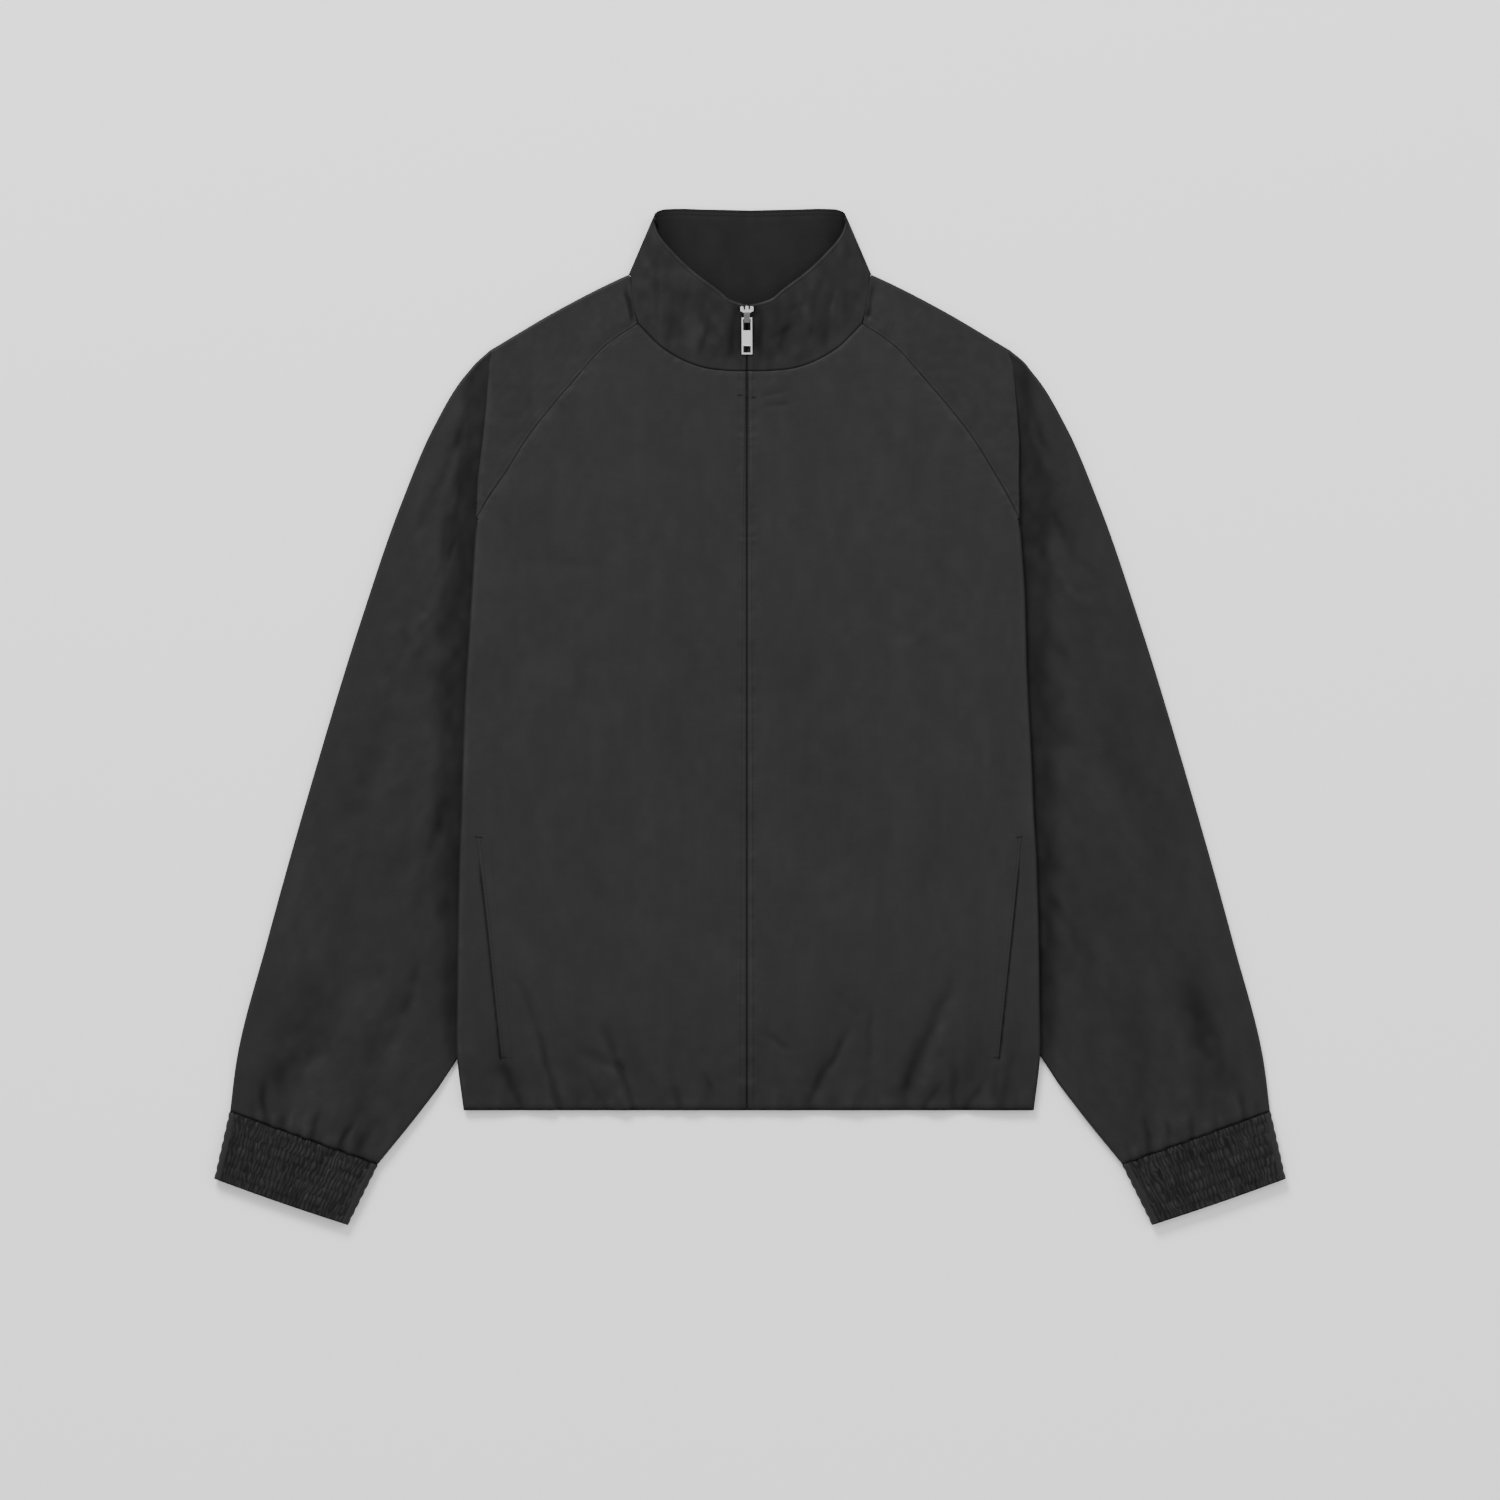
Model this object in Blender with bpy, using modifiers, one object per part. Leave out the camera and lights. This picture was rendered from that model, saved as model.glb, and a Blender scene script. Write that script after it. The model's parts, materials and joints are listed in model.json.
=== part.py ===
"""Zip-front track jacket with raglan sleeves, a stand collar and shirred cuffs.

The jacket lies flat on its back: +X runs across it, +Y towards the collar and +Z up
from the surface that it lies on. Each cut piece is one wall of cloth. The back lies on
the surface, the sleeves lie beside and partly under the body, and each front lies on
top and turns under at the side, over the sleeve, to meet the back at the side seam.
Plan sizes below are millimetres for the side at +X; the other side is its mirror.
"""

import math

import bmesh
import bpy
import numpy as np

MM = 0.001

# ---- driving dimensions (mm) ------------------------------------------------------
WALL = 1.2                # thickness of every cloth wall but the cuffs'
HALF_WALL = WALL / 2
GAP = 0.4                 # clear space between two pieces at a seam
FLOOR_LAYER = HALF_WALL   # middle of a layer that lies on the surface
SLEEVE_UNDER = 2.4        # sleeve front where the body lies on it
TUCK_OVER = 4.1           # turned-under side of a front, where it lies on the sleeve
BODY_TOP = 4.8            # front at the middle of the body
CREASE_LIFT = 2.6         # how much higher the front lies along its side crease
HEAD_LIFT_SHARE = 0.4     # share of that lift left along the sleeve head
SLEEVE_TOP = 4.9          # sleeve front clear of the body
CUFF_END_TOP = 5.7        # sleeve front where it is gathered into the cuff
EDGE_TOP = 3.8            # sleeve front along its outer fold
FOLD_BULGE = 1.8          # how far a fold bellies past the layers that it joins
HEM_Y = -315.2
CENTRE_X = -2.5           # the zip lies a little to the wearer's right of the middle
COLLAR_RISE = 7.4         # the collar front climbs this much from neck seam to edge
SIDE_SEAM_X = 178.4
TAPE_WIDTH = 12.0
TAPE_WALL = 1.0
CLEAR = 0.3               # clear space over what another piece lies on
COLLAR_SIDE_Z = 8.6       # collar front at the top of its side fold
CUFF_WALL = 2.2
CUFF_HEIGHTS = (7.2, 8.4, 7.6)   # over the surface: at the seam, half way, at the edge
RIB_DEPTH = 0.45
WELT_WIDTH = 9.0
WELT_WALL = 1.0
CUFF_BOW = 0.7            # the cuff's open edge swells this far between its corners
PULL_Y = 318.2            # the pull's crossbar
PULL_SIZE = (8.4, 30.0, 1.3)
PULL_BAR = 1.36
PULL_WINDOWS = ((5.7, -0.7, -9.8), (6.0, -22.4, -28.0))   # width, upper end, lower end
HINGE_LIFT = 3.3          # crossbar's middle over the collar cloth
PULL_DROOP = 2.4          # degrees that the pull leans down to its tip
SLIDER_TOP = 2.1
SLIDER_HALF = ((2.4, -3.8), (2.4, 3.6), (3.6, 4.8), (5.2, 5.6), (5.3, 8.6), (4.4, 9.6),
               (2.7, 8.9), (2.4, 6.6), (1.4, 6.4), (1.3, 8.9), (0.6, 9.7))
BAIL_SIZE = (4.6, 7.2, 4.0)
EYE_SIZE = (6.0, 2.5, 2.05)
COLLAR_GAP = np.array([0.35, -0.6])   # shift of a sleeve's neck edge away from the collar
CLIMB = (2.6, 8.4)        # the turned-under side climbs this far before the sleeve's edge
NECK_TURN = np.array([0.77, 0.64])    # way that the side fold faces at the neck seam
COLLAR_TURN = np.array([0.91, 0.41])  # and at the collar's top edge
CUFF_WAY = np.array([0.33, -0.94])    # way from the cuff's seam to its open edge

# ---- shares of a line's length where its neighbour changes --------------------------
CREASE_SHARE = 0.185      # of the sleeve's outer fold, level with the crease's lower end
UNDERARM_SHARE = 0.36     # and level with the underarm
COLLAR_SIDE_SHARE = 0.7   # of the collar's front edge, level with the raglan seam
COLLAR_BACK_SHARE = 0.3   # of its back edge, level with the back raglan seam

# ---- plan lines, as (x, y) stations -----------------------------------------------
NECK_FRONT = ((0, 276), (22, 276), (42, 280), (68, 293), (89.6, 313.6))
NECK_SIDE = ((89.6, 313.6), (93.2, 329), (94.9, 341), (95.2, 351.5))
NECK_BACK_SIDE = ((97, 353), (84, 345), (66, 338))
NECK_BACK = ((66, 338), (34, 327), (0, 323))
COLLAR_EDGE_FRONT = ((0, 327), (13, 330), (26, 340.5), (44, 354), (60, 369), (72, 387),
                     (76, 400))
COLLAR_EDGE_BACK = ((76, 402), (60, 405.6), (36, 405.2), (0, 404.4))
RAGLAN = ((89.6, 313.6), (114, 297), (140, 269), (176, 225), (216, 157))
RAGLAN_BACK = ((66, 338), (112, 262), (158, 142), (180, 46))
SHOULDER = ((97, 353), (108, 348), (152, 325.5), (208, 292.5))
SLEEVE_OUTER = ((208, 292.5), (229, 271), (252, 233), (279, 170), (311, 77), (350, -51),
                (386, -179), (411, -277), (416, -317))
CREASE_HEAD = ((208, 292.5), (211.5, 225), (216, 157))
CREASE_BODY = ((216, 157), (224, 61), (230, -107), (232, -227), (232, -273), (227, HEM_Y))
SLEEVE_HIDDEN = ((216, 157), (199, 102), (180, 46))
INSEAM = ((180, 46), (187.5, 14), (190, -60), (195, -150), (206, -225), (232, -273),
          (264, -317), (298, -359))
TUCK_INNER = ((SIDE_SEAM_X, HEM_Y), (SIDE_SEAM_X, -150), (SIDE_SEAM_X, 34),
              (184, 58), (214, 150), (216, 157))
CUFF_TOP = ((298, -359), (416, -317))
CUFF_EDGE = ((321.8, -406.8), (428, -370))
POCKET = ((217.6, -96), (199, -274))

# ---- divisions of the grids -------------------------------------------------------
FRONT_COLUMNS = 15
CREASE_ROWS = 20
RAGLAN_ROWS = 8
HEAD_ROWS = 7
HEAD_COLUMNS = 7
HIDDEN_ROWS = 4
INSEAM_ROWS = 16
BACK_COLUMNS = 3
BACK_PANEL_COLUMNS = 6
BACK_SIDE_ROWS = 5
BACK_RAGLAN_ROWS = 6
FOLD_STEPS = 4
STEP_STEPS = 6
COLLAR_ROWS = 5
NECK_BACK_STEPS = 5
CUFF_RIBS = 32
CUFF_END_STEPS = 6
CUFF_FLAT_STEPS = 6
WELT_ROWS = 10
TAPE_ROWS = 26

# ---- folds of the upper layers: a ridge (height > 0) or trough along a straight run
# from its faint start to its strong end, in plan with the wearer's right at -X -------
FOLDS = (
    # start_x start_y  end_x  end_y  width height
    (-184, -205, -150, -330, 11.0, 1.5),
    (-166, -225, -134, -330, 10.0, -1.3),
    (-122, -240, -92, -330, 10.0, 1.4),
    (-103, -250, -74, -330, 9.0, -1.1),
    (-62, -262, -44, -330, 8.0, 0.9),
    (-205, -250, -186, -330, 9.0, -1.0),
    (-40, -276, -30, -330, 8.0, -0.7),
    (34, -262, 30, -330, 8.0, 0.8),
    (62, -250, 52, -330, 10.0, -1.2),
    (96, -250, 84, -330, 10.0, 1.1),
    (163, -220, 142, -330, 11.0, 1.5),
    (146, -240, 118, -330, 9.0, -1.1),
    (186, -236, 170, -330, 10.0, -1.2),
    (196, -258, 206, -330, 9.0, 1.1),
    (-80, 210, -150, 20, 26.0, 0.7),
    (84, 220, 148, 40, 28.0, 0.8),
    (-20, 120, -60, -60, 30.0, -0.6),
    (30, 90, 66, -110, 30.0, -0.6),
    (-318, -170, -392, -318, 15.0, -1.5),
    (-300, -200, -352, -330, 13.0, 1.2),
    (-268, -180, -318, -345, 12.0, -1.1),
    (-262, -230, -303, -345, 9.0, 1.0),
    (350, -170, 372, -318, 15.0, -1.5),
    (322, -196, 344, -335, 13.0, 1.2),
    (300, -200, 318, -345, 11.0, -1.1),
    (378, -232, 396, -318, 9.0, 1.0),
    (-250, 150, -300, 10, 20.0, 0.9),
    (-272, 40, -330, -90, 22.0, -0.8),
    (252, 160, 296, 20, 20.0, 0.9),
    (262, 30, 322, -100, 22.0, -0.8),
    (-262, 20, -292, -120, 16.0, 0.8),
    (276, -20, 300, -140, 16.0, 0.8),
    (-110, 300, -190, 205, 10.0, 0.6),
    (118, 306, 196, 200, 10.0, 0.6),
)
COLLAR_FOLDS = (
    # start_x start_y  end_x  end_y  width height
    (-20, 322, -22, 272, 4.0, 0.7),
    (-34, 330, -34, 276, 4.5, -0.7),
    (-50, 345, -44, 280, 5.0, 0.8),
    (-68, 365, -62, 290, 5.5, -0.7),
    (12, 322, 14, 272, 4.0, 0.7),
    (28, 330, 27, 276, 4.5, -0.7),
    (46, 345, 40, 280, 5.0, 0.8),
    (66, 365, 60, 290, 5.5, -0.7),
)


# ---- small tools ------------------------------------------------------------------
def smooth(x):
    """0 to 1 as x goes from 0 to 1, level at both ends."""
    x = np.clip(x, 0.0, 1.0)
    return x * x * (3.0 - 2.0 * x)


def mix(a, b, share):
    return a + (b - a) * share


def line_along(stations, shares):
    """Points of the smooth curve through the stations at these shares of its length."""
    p = np.asarray(stations, float)
    chord = np.r_[0.0, np.cumsum(np.linalg.norm(np.diff(p, axis=0), axis=1))]
    slope = np.gradient(p, chord, axis=0)
    t = np.linspace(0.0, chord[-1], 400)
    i = np.clip(np.searchsorted(chord, t, side="right") - 1, 0, len(p) - 2)
    span = (chord[i + 1] - chord[i])[:, None]
    s = (t[:, None] - chord[i][:, None]) / span
    dense = ((2 * s**3 - 3 * s**2 + 1) * p[i] + (s**3 - 2 * s**2 + s) * span * slope[i]
             + (3 * s**2 - 2 * s**3) * p[i + 1] + (s**3 - s**2) * span * slope[i + 1])
    run = np.r_[0.0, np.cumsum(np.linalg.norm(np.diff(dense, axis=0), axis=1))]
    at = np.asarray(shares) * run[-1]
    return np.stack([np.interp(at, run, dense[:, k]) for k in (0, 1)], axis=1)


def stations_of(stations, count):
    return line_along(stations, np.linspace(0.0, 1.0, count + 1))


def outward(points, flip=1.0):
    """Unit normals of a plan line, to the left of its run, or to the right with flip -1."""
    run = np.gradient(points, axis=0)
    run /= np.linalg.norm(run, axis=1, keepdims=True)
    return flip * np.stack([-run[:, 1], run[:, 0]], axis=1)


def in_3d(plan, z):
    return np.concatenate([plan, np.broadcast_to(z, plan.shape[:-1])[..., None]], axis=-1)


def between(inner, outer, neck):
    """Half a panel's plan, worked out from its centre line, outer line and neck line."""
    u = np.linspace(0, 1, len(neck))[None, :, None]
    rise = (outer[:, 1] - HEM_Y) / (outer[-1, 1] - HEM_Y)
    v = rise[:, None, None]
    hem = mix(inner[0], outer[0], u[0])
    corners = ((1 - u) * (1 - v) * inner[0] + u * (1 - v) * outer[0]
               + (1 - u) * v * inner[-1] + u * v * outer[-1])
    return ((1 - u) * inner[:, None] + u * outer[:, None]
            + (1 - v) * hem[None] + v * neck[None] - corners)


def centre_line(x, top_y, outer):
    """Centre line from hem to neck with a point for each one of the outer line."""
    rise = (outer[:, 1] - HEM_Y) / (outer[-1, 1] - HEM_Y)
    return np.stack([np.full(len(outer), float(x)), mix(HEM_Y, top_y, rise)], axis=1)


def ruled(first, last, count):
    """Grid of straight lines from each point of one line to the same point of the other."""
    share = np.linspace(0.0, 1.0, count + 1)[None, :, None]
    return first[:, None] * (1 - share) + last[:, None] * share


def fold_over(top, low, normals, bulge, steps=FOLD_STEPS):
    """Half-ellipse strip from each top point round to the low point under it."""
    angle = np.linspace(0.0, math.pi, steps + 1)[None, :, None]
    middle = (top + low)[:, None] / 2
    half = (top - low)[:, None] / 2
    reach = in_3d(normals * np.broadcast_to(bulge, (len(normals),))[:, None], 0.0)[:, None]
    return middle + half * np.cos(angle) + reach * np.sin(angle)


def ridges(x, y, table):
    """Sum of the table's ridges: a bell across each one, growing along its run."""
    total = np.zeros(np.broadcast(x, y).shape)
    for start_x, start_y, end_x, end_y, width, height in table:
        run_x = end_x - start_x
        run_y = end_y - start_y
        length = math.hypot(run_x, run_y)
        along = ((x - start_x) * run_x + (y - start_y) * run_y) / length**2
        across = ((x - start_x) * run_y - (y - start_y) * run_x) / length
        grown = smooth(along / 0.55) * (1 - smooth((along - 0.95) / 0.2))
        total = total + height * np.exp(-((across / width) ** 2)) * grown
    return total


def crease_x(y):
    """Half width of the body at the crease where its cloth turns under."""
    line = np.concatenate([stations_of(CREASE_HEAD, 20), stations_of(CREASE_BODY, 60)])
    return np.interp(y, line[::-1, 1], line[::-1, 0])


def sleeve_edge_x(y):
    """Inner edge of the sleeve, most of it under the body."""
    line = np.concatenate([stations_of(SLEEVE_HIDDEN, 20), stations_of(INSEAM, 80)])
    return np.interp(y, line[::-1, 1], line[::-1, 0])


def body_height(x, y):
    """Middle of the cloth of a front or of a sleeve head, over the whole body."""
    side = np.abs(x)
    lift = smooth((side - 148) / (crease_x(y) - 160)) * mix(0.3, 1.0, smooth((y + 303) / 40))
    lift = lift * mix(1.0, HEAD_LIFT_SHARE, smooth((y - 165) / 60))
    calm = smooth((np.abs(x - CENTRE_X) - 4) / 14) * (1 - smooth((side - 206) / 20) * 0.8)
    return BODY_TOP + CREASE_LIFT * lift + ridges(x, y, FOLDS) * calm


def tuck_height(x, y):
    """Turned-under cloth: on the surface, then up and over the sleeve's inner edge."""
    past_edge = x - sleeve_edge_x(y)
    climb = (past_edge + CLIMB[1]) / (CLIMB[1] - CLIMB[0])
    return mix(FLOOR_LAYER, TUCK_OVER, smooth(climb))


def centre_height(y):
    """Height of the cloth's middle along the centre front, up the collar too."""
    climb = (y - NECK_FRONT[0][1]) / (COLLAR_EDGE_FRONT[0][1] - NECK_FRONT[0][1])
    return BODY_TOP + COLLAR_RISE * smooth(np.clip(climb, 0, 1) * 0.5) * 2


# ---- meshes -----------------------------------------------------------------------
def mesh_object(name, material, patches, collection, wall):
    """One open surface welded from grids of points, given its thickness by Solidify."""
    form = bmesh.new()
    for grid in patches:
        rows, columns = grid.shape[:2]
        verts = [[form.verts.new(point) for point in row] for row in grid * MM]
        for i in range(rows - 1):
            for j in range(columns - 1):
                form.faces.new((verts[i][j], verts[i][j + 1], verts[i + 1][j + 1], verts[i + 1][j]))
    bmesh.ops.remove_doubles(form, verts=form.verts, dist=0.00004)
    bmesh.ops.dissolve_degenerate(form, edges=form.edges, dist=0.00001)
    bmesh.ops.recalc_face_normals(form, faces=form.faces)
    mesh = bpy.data.meshes.new(name)
    form.to_mesh(mesh)
    form.free()
    mesh.materials.append(material)
    mesh.shade_smooth()
    obj = bpy.data.objects.new(name, mesh)
    collection.objects.link(obj)
    solid = obj.modifiers.new("cloth wall", "SOLIDIFY")
    solid.thickness = wall * MM
    solid.offset = 0.0
    solid.use_even_offset = True
    return obj


def mirrored(grid, side):
    return grid * np.array([side, 1.0, 1.0])


# ---- the fronts -------------------------------------------------------------------
def crease_line():
    """The side crease from hem to raglan seam, drawn in by its own belly."""
    line = stations_of(CREASE_BODY, CREASE_ROWS)[::-1]
    line[:, 0] -= FOLD_BULGE + HALF_WALL
    return line


def neck_front_line(side):
    """The neck seam from centre front to raglan seam, which front and collar share."""
    neck = stations_of(NECK_FRONT, FRONT_COLUMNS)
    centre = CENTRE_X * side + CLEAR
    neck[:, 0] = mix(centre, neck[:, 0], smooth(np.linspace(0, 3, len(neck))))
    return neck


def front_grid(side):
    crease = crease_line()
    seam = stations_of(RAGLAN, RAGLAN_ROWS)[::-1]
    seam[0] = crease[-1]
    seam = seam - outward(seam, -1.0) * GAP / 2
    outer = np.concatenate([crease, seam[1:]])
    inner = centre_line(CENTRE_X * side + CLEAR, NECK_FRONT[0][1] - GAP / 2, outer)
    neck = neck_front_line(side)
    neck[:, 1] -= GAP / 2
    neck[-1] = outer[-1]
    plan = between(inner, outer, neck)
    return in_3d(plan, body_height(plan[..., 0] * side, plan[..., 1]))


def tuck_grid(edge):
    """The turned-under side, with lines of the grid along its climb over the sleeve."""
    share = np.interp(edge[:, 1], (HEM_Y, -20, 157), (0.0, 0.6, 1.0))
    inner = line_along(TUCK_INNER, share)
    inner[:, 0] = np.maximum(inner[:, 0], SIDE_SEAM_X)
    inner[-1] = edge[-1, :2]
    width = np.maximum(edge[:, 0] - inner[:, 0], 0.01)
    sleeve = sleeve_edge_x(mix(edge[:, 1], inner[:, 1], 0.7))
    high = np.clip((edge[:, 0] - sleeve + CLIMB[0]) / width, 0.1, 0.9)
    low = np.clip((edge[:, 0] - sleeve + CLIMB[1]) / width, high + 0.04, 0.97)
    shares = np.stack([0 * high, high / 2, high, (2 * high + low) / 3, (high + 2 * low) / 3,
                       low, np.ones(len(high))], axis=1)[..., None]
    plan = edge[:, None, :2] * (1 - shares) + inner[:, None] * shares
    return in_3d(plan, tuck_height(plan[..., 0], plan[..., 1]))


def build_front(name, side, material, collection):
    top = front_grid(side)
    edge = top[:CREASE_ROWS + 1, -1]
    tuck = tuck_grid(edge)
    strip = fold_over(edge, tuck[:, 0], np.tile([1.0, 0.0], (len(edge), 1)), FOLD_BULGE)
    patches = [mirrored(grid, side) for grid in (top, strip, tuck)]
    return mesh_object(name, material, patches, collection, WALL)


# ---- the back ---------------------------------------------------------------------
def build_back(material, collection):
    raglan = stations_of(RAGLAN_BACK, BACK_RAGLAN_ROWS)[::-1]
    raglan[:, 0] -= GAP
    raglan[0, 0] = SIDE_SEAM_X - GAP
    raglan[-1, 1] -= GAP
    side_line = np.stack([np.full(BACK_SIDE_ROWS, SIDE_SEAM_X - GAP),
                          np.linspace(HEM_Y, TUCK_INNER[2][1], BACK_SIDE_ROWS)], axis=1)
    outer = np.concatenate([side_line, raglan])
    neck = stations_of(NECK_BACK, BACK_PANEL_COLUMNS)[::-1]
    neck[:, 1] -= GAP
    neck[-1] = outer[-1]
    plan = between(centre_line(0, neck[0, 1], outer), outer, neck)
    half = in_3d(plan, FLOOR_LAYER)
    return mesh_object("back_panel", material, [half, mirrored(half, -1)], collection, WALL)


# ---- the sleeves ------------------------------------------------------------------
def sleeve_front_height(x, y, side):
    """Middle of the sleeve front below the head: low under the body, full outside it."""
    clear = x - crease_x(y)
    full = mix(SLEEVE_TOP, CUFF_END_TOP, smooth((-y - 250) / 90))
    height = mix(SLEEVE_UNDER, full, smooth((clear - 2) / 30))
    return height + ridges(x * side, y, FOLDS) * smooth((clear - 8) / 25)


def sleeve_parts(side):
    """The grids of one sleeve: head, front, back, and the folds that join them."""
    inset = FOLD_BULGE + HALF_WALL
    seam = stations_of(RAGLAN, HEAD_ROWS)
    seam = seam + outward(seam, 1.0) * GAP / 2
    shoulder = stations_of(SHOULDER, HEAD_ROWS)
    shoulder_out = outward(shoulder, 1.0)
    outer_share = np.r_[np.linspace(0, CREASE_SHARE, HEAD_COLUMNS + 1),
                        np.linspace(CREASE_SHARE, UNDERARM_SHARE, HIDDEN_ROWS + 1)[1:],
                        np.linspace(UNDERARM_SHARE, 1, INSEAM_ROWS + 1)[1:]]
    outer = line_along(SLEEVE_OUTER, outer_share)
    outer_out = outward(outer, 1.0)
    turn = (shoulder_out[-1] + outer_out[0]) / 2
    turn /= np.linalg.norm(turn)
    shoulder_out[-1] = outer_out[0] = turn
    shoulder_out[0] = NECK_TURN
    shoulder = shoulder - shoulder_out * inset
    outer = outer - outer_out * inset
    crease = stations_of(CREASE_HEAD, HEAD_COLUMNS)
    crease += (shoulder[-1] - crease[0]) * np.linspace(1, 0, HEAD_COLUMNS + 1)[:, None]
    crease[:, 0] -= inset * smooth(np.linspace(0, 2, HEAD_COLUMNS + 1))
    crease[-1, 1] += GAP * 1.5
    seam[-1] = crease[-1]

    head_plan = ruled(seam, shoulder, HEAD_COLUMNS)
    head_plan[-1] = crease[::-1]
    head_plan[0] = stations_of(NECK_SIDE, HEAD_COLUMNS)
    head_plan[0, -1] = shoulder[0]
    head_plan[0, 1:] += COLLAR_GAP
    head_plan[0, 0] = seam[0]
    seam_v = np.linspace(0, 1, HEAD_COLUMNS + 1)[None, :]
    head_z = mix(body_height(head_plan[..., 0] * side, head_plan[..., 1]), EDGE_TOP,
                 smooth(seam_v) ** 1.5)
    head = in_3d(head_plan, head_z)

    hidden = stations_of(SLEEVE_HIDDEN, HIDDEN_ROWS)
    hidden[0] = crease[-1]
    inseam = stations_of(INSEAM, INSEAM_ROWS)
    inner_out = outward(inseam, -1.0)
    inner_out[0] = (-1.0, 0.0)
    inner_inset = mix(1.4, inset, smooth((-inseam[:, 1] - 230) / 60))
    inseam = inseam - inner_out * inner_inset[:, None]
    hidden[-1] = inseam[0]
    inner = np.concatenate([crease, hidden[1:], inseam[1:]])
    v = np.linspace(0, 1, HEAD_COLUMNS + 1)[None, :] ** 1.5
    front_plan = inner[:, None] * (1 - v[..., None]) + outer[:, None] * v[..., None]
    front_z = sleeve_front_height(front_plan[..., 0], front_plan[..., 1], side)
    edge_share = smooth((v - 0.62) / 0.38) ** 1.5
    front_z = mix(front_z, EDGE_TOP, edge_share)
    start_share = smooth(outer_share[:, None] / 0.13)
    front_z = mix(EDGE_TOP, front_z, start_share)
    front = in_3d(front_plan, front_z)

    back_seam = stations_of(RAGLAN_BACK, HEAD_ROWS + HEAD_COLUMNS + HIDDEN_ROWS)
    back_seam[-1] = inseam[0]
    back_inner = np.concatenate([back_seam, inseam[1:]])
    back_outer = np.concatenate([shoulder, outer[1:]])
    back_plan = ruled(back_outer, back_inner, BACK_COLUMNS)
    back_first = stations_of(NECK_BACK_SIDE, BACK_COLUMNS)
    back_first += (shoulder[0] - back_first[0]) * np.linspace(1, 0, BACK_COLUMNS + 1)[:, None]
    back_plan[0] = back_first + COLLAR_GAP
    head_plan[0, -1] = back_plan[0, 0]
    head[0, -1, :2] = back_plan[0, 0]
    back = in_3d(back_plan, FLOOR_LAYER)

    top_edge = np.concatenate([head[:, -1], front[1:, -1]])
    edge_out = np.concatenate([shoulder_out, outer_out[1:]])
    outer_fold = fold_over(top_edge, back[:, 0], edge_out, FOLD_BULGE)
    first_row = HEAD_COLUMNS + HIDDEN_ROWS
    top_inner = front[first_row:, 0]
    low_inner = in_3d(inseam, FLOOR_LAYER)
    belly = np.minimum(FOLD_BULGE, (top_inner[:, 2] - FLOOR_LAYER) / 2)
    inner_fold = fold_over(top_inner, low_inner, inner_out, belly)

    high = head[-1, ::-1]
    low = front[:HEAD_COLUMNS + 1, 0]
    s = np.linspace(0, 1, STEP_STEPS + 1)[None, :, None]
    swing = smooth(np.linspace(0, 2.5, HEAD_COLUMNS + 1))[:, None, None] * 1.5
    step = high[:, None] * (1 - s) + low[:, None] * s
    step = step + np.array([1.0, 0.0, 0.0]) * np.sin(2 * math.pi * s) * swing
    return head, front, back, outer_fold, inner_fold, step


def build_sleeve(name, side, material, collection):
    patches = [mirrored(grid, side) for grid in sleeve_parts(side)]
    return mesh_object(name, material, patches, collection, WALL)


# ---- the collar -------------------------------------------------------------------
def collar_half(side):
    """Front, side fold and back of one half of the collar, from neck seam to top edge."""
    inset = FOLD_BULGE + HALF_WALL
    shoulder_start = np.array(SHOULDER[0]) - NECK_TURN * inset
    front_low = neck_front_line(side)
    front_low[:, 1] += GAP / 2
    side_low = stations_of(NECK_SIDE, HEAD_COLUMNS)
    side_low[-1] = shoulder_start
    v = np.linspace(0, 1, HEAD_COLUMNS + 1)
    side_z = mix(body_height(side_low[:, 0] * side, side_low[:, 1]), EDGE_TOP, smooth(v) ** 1.5)
    low = np.concatenate([front_low, side_low[1:]])
    low_z = np.r_[body_height(front_low[:, 0] * side, front_low[:, 1]), side_z[1:]]
    share = np.r_[np.linspace(0, COLLAR_SIDE_SHARE, FRONT_COLUMNS + 1),
                  np.linspace(COLLAR_SIDE_SHARE, 1, HEAD_COLUMNS + 1)[1:]]
    high = line_along(COLLAR_EDGE_FRONT, share)
    high[:, 0] = mix(front_low[0, 0], high[:, 0], smooth(share * 5))
    high[-1, 0] -= COLLAR_TURN[0] * inset
    high_z = mix(BODY_TOP + COLLAR_RISE, COLLAR_SIDE_Z, share**2)
    rows = np.linspace(0, 1, COLLAR_ROWS + 1)[:, None]
    plan = low[None] * (1 - rows[..., None]) + high[None] * rows[..., None]
    z = low_z + (high_z - low_z) * smooth(rows * 0.5) * 2
    z = z + ridges(plan[..., 0] * side, plan[..., 1], COLLAR_FOLDS) * smooth(rows * 4)
    front = in_3d(plan, z)

    back_side = stations_of(NECK_BACK_SIDE, BACK_COLUMNS)
    back_side += (shoulder_start - back_side[0]) * np.linspace(1, 0, BACK_COLUMNS + 1)[:, None]
    back_low = np.concatenate([back_side, stations_of(NECK_BACK, NECK_BACK_STEPS)[1:]])
    back_share = np.r_[np.linspace(0, COLLAR_BACK_SHARE, BACK_COLUMNS + 1),
                       np.linspace(COLLAR_BACK_SHARE, 1, NECK_BACK_STEPS + 1)[1:]]
    back_high = line_along(COLLAR_EDGE_BACK, back_share)
    back_high[0] = high[-1]
    back_plan = back_low[None] * (1 - rows[..., None]) + back_high[None] * rows[..., None]
    back = in_3d(back_plan, FLOOR_LAYER)
    out = mix(NECK_TURN[None], COLLAR_TURN[None], smooth(rows * 2))
    fold = fold_over(front[:, -1], back[:, 0], out, FOLD_BULGE)
    return front, fold, back


def build_collar(material, collection):
    patches = [mirrored(grid, side) for side in (1, -1) for grid in collar_half(side)]
    return mesh_object("collar", material, patches, collection, WALL)


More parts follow.
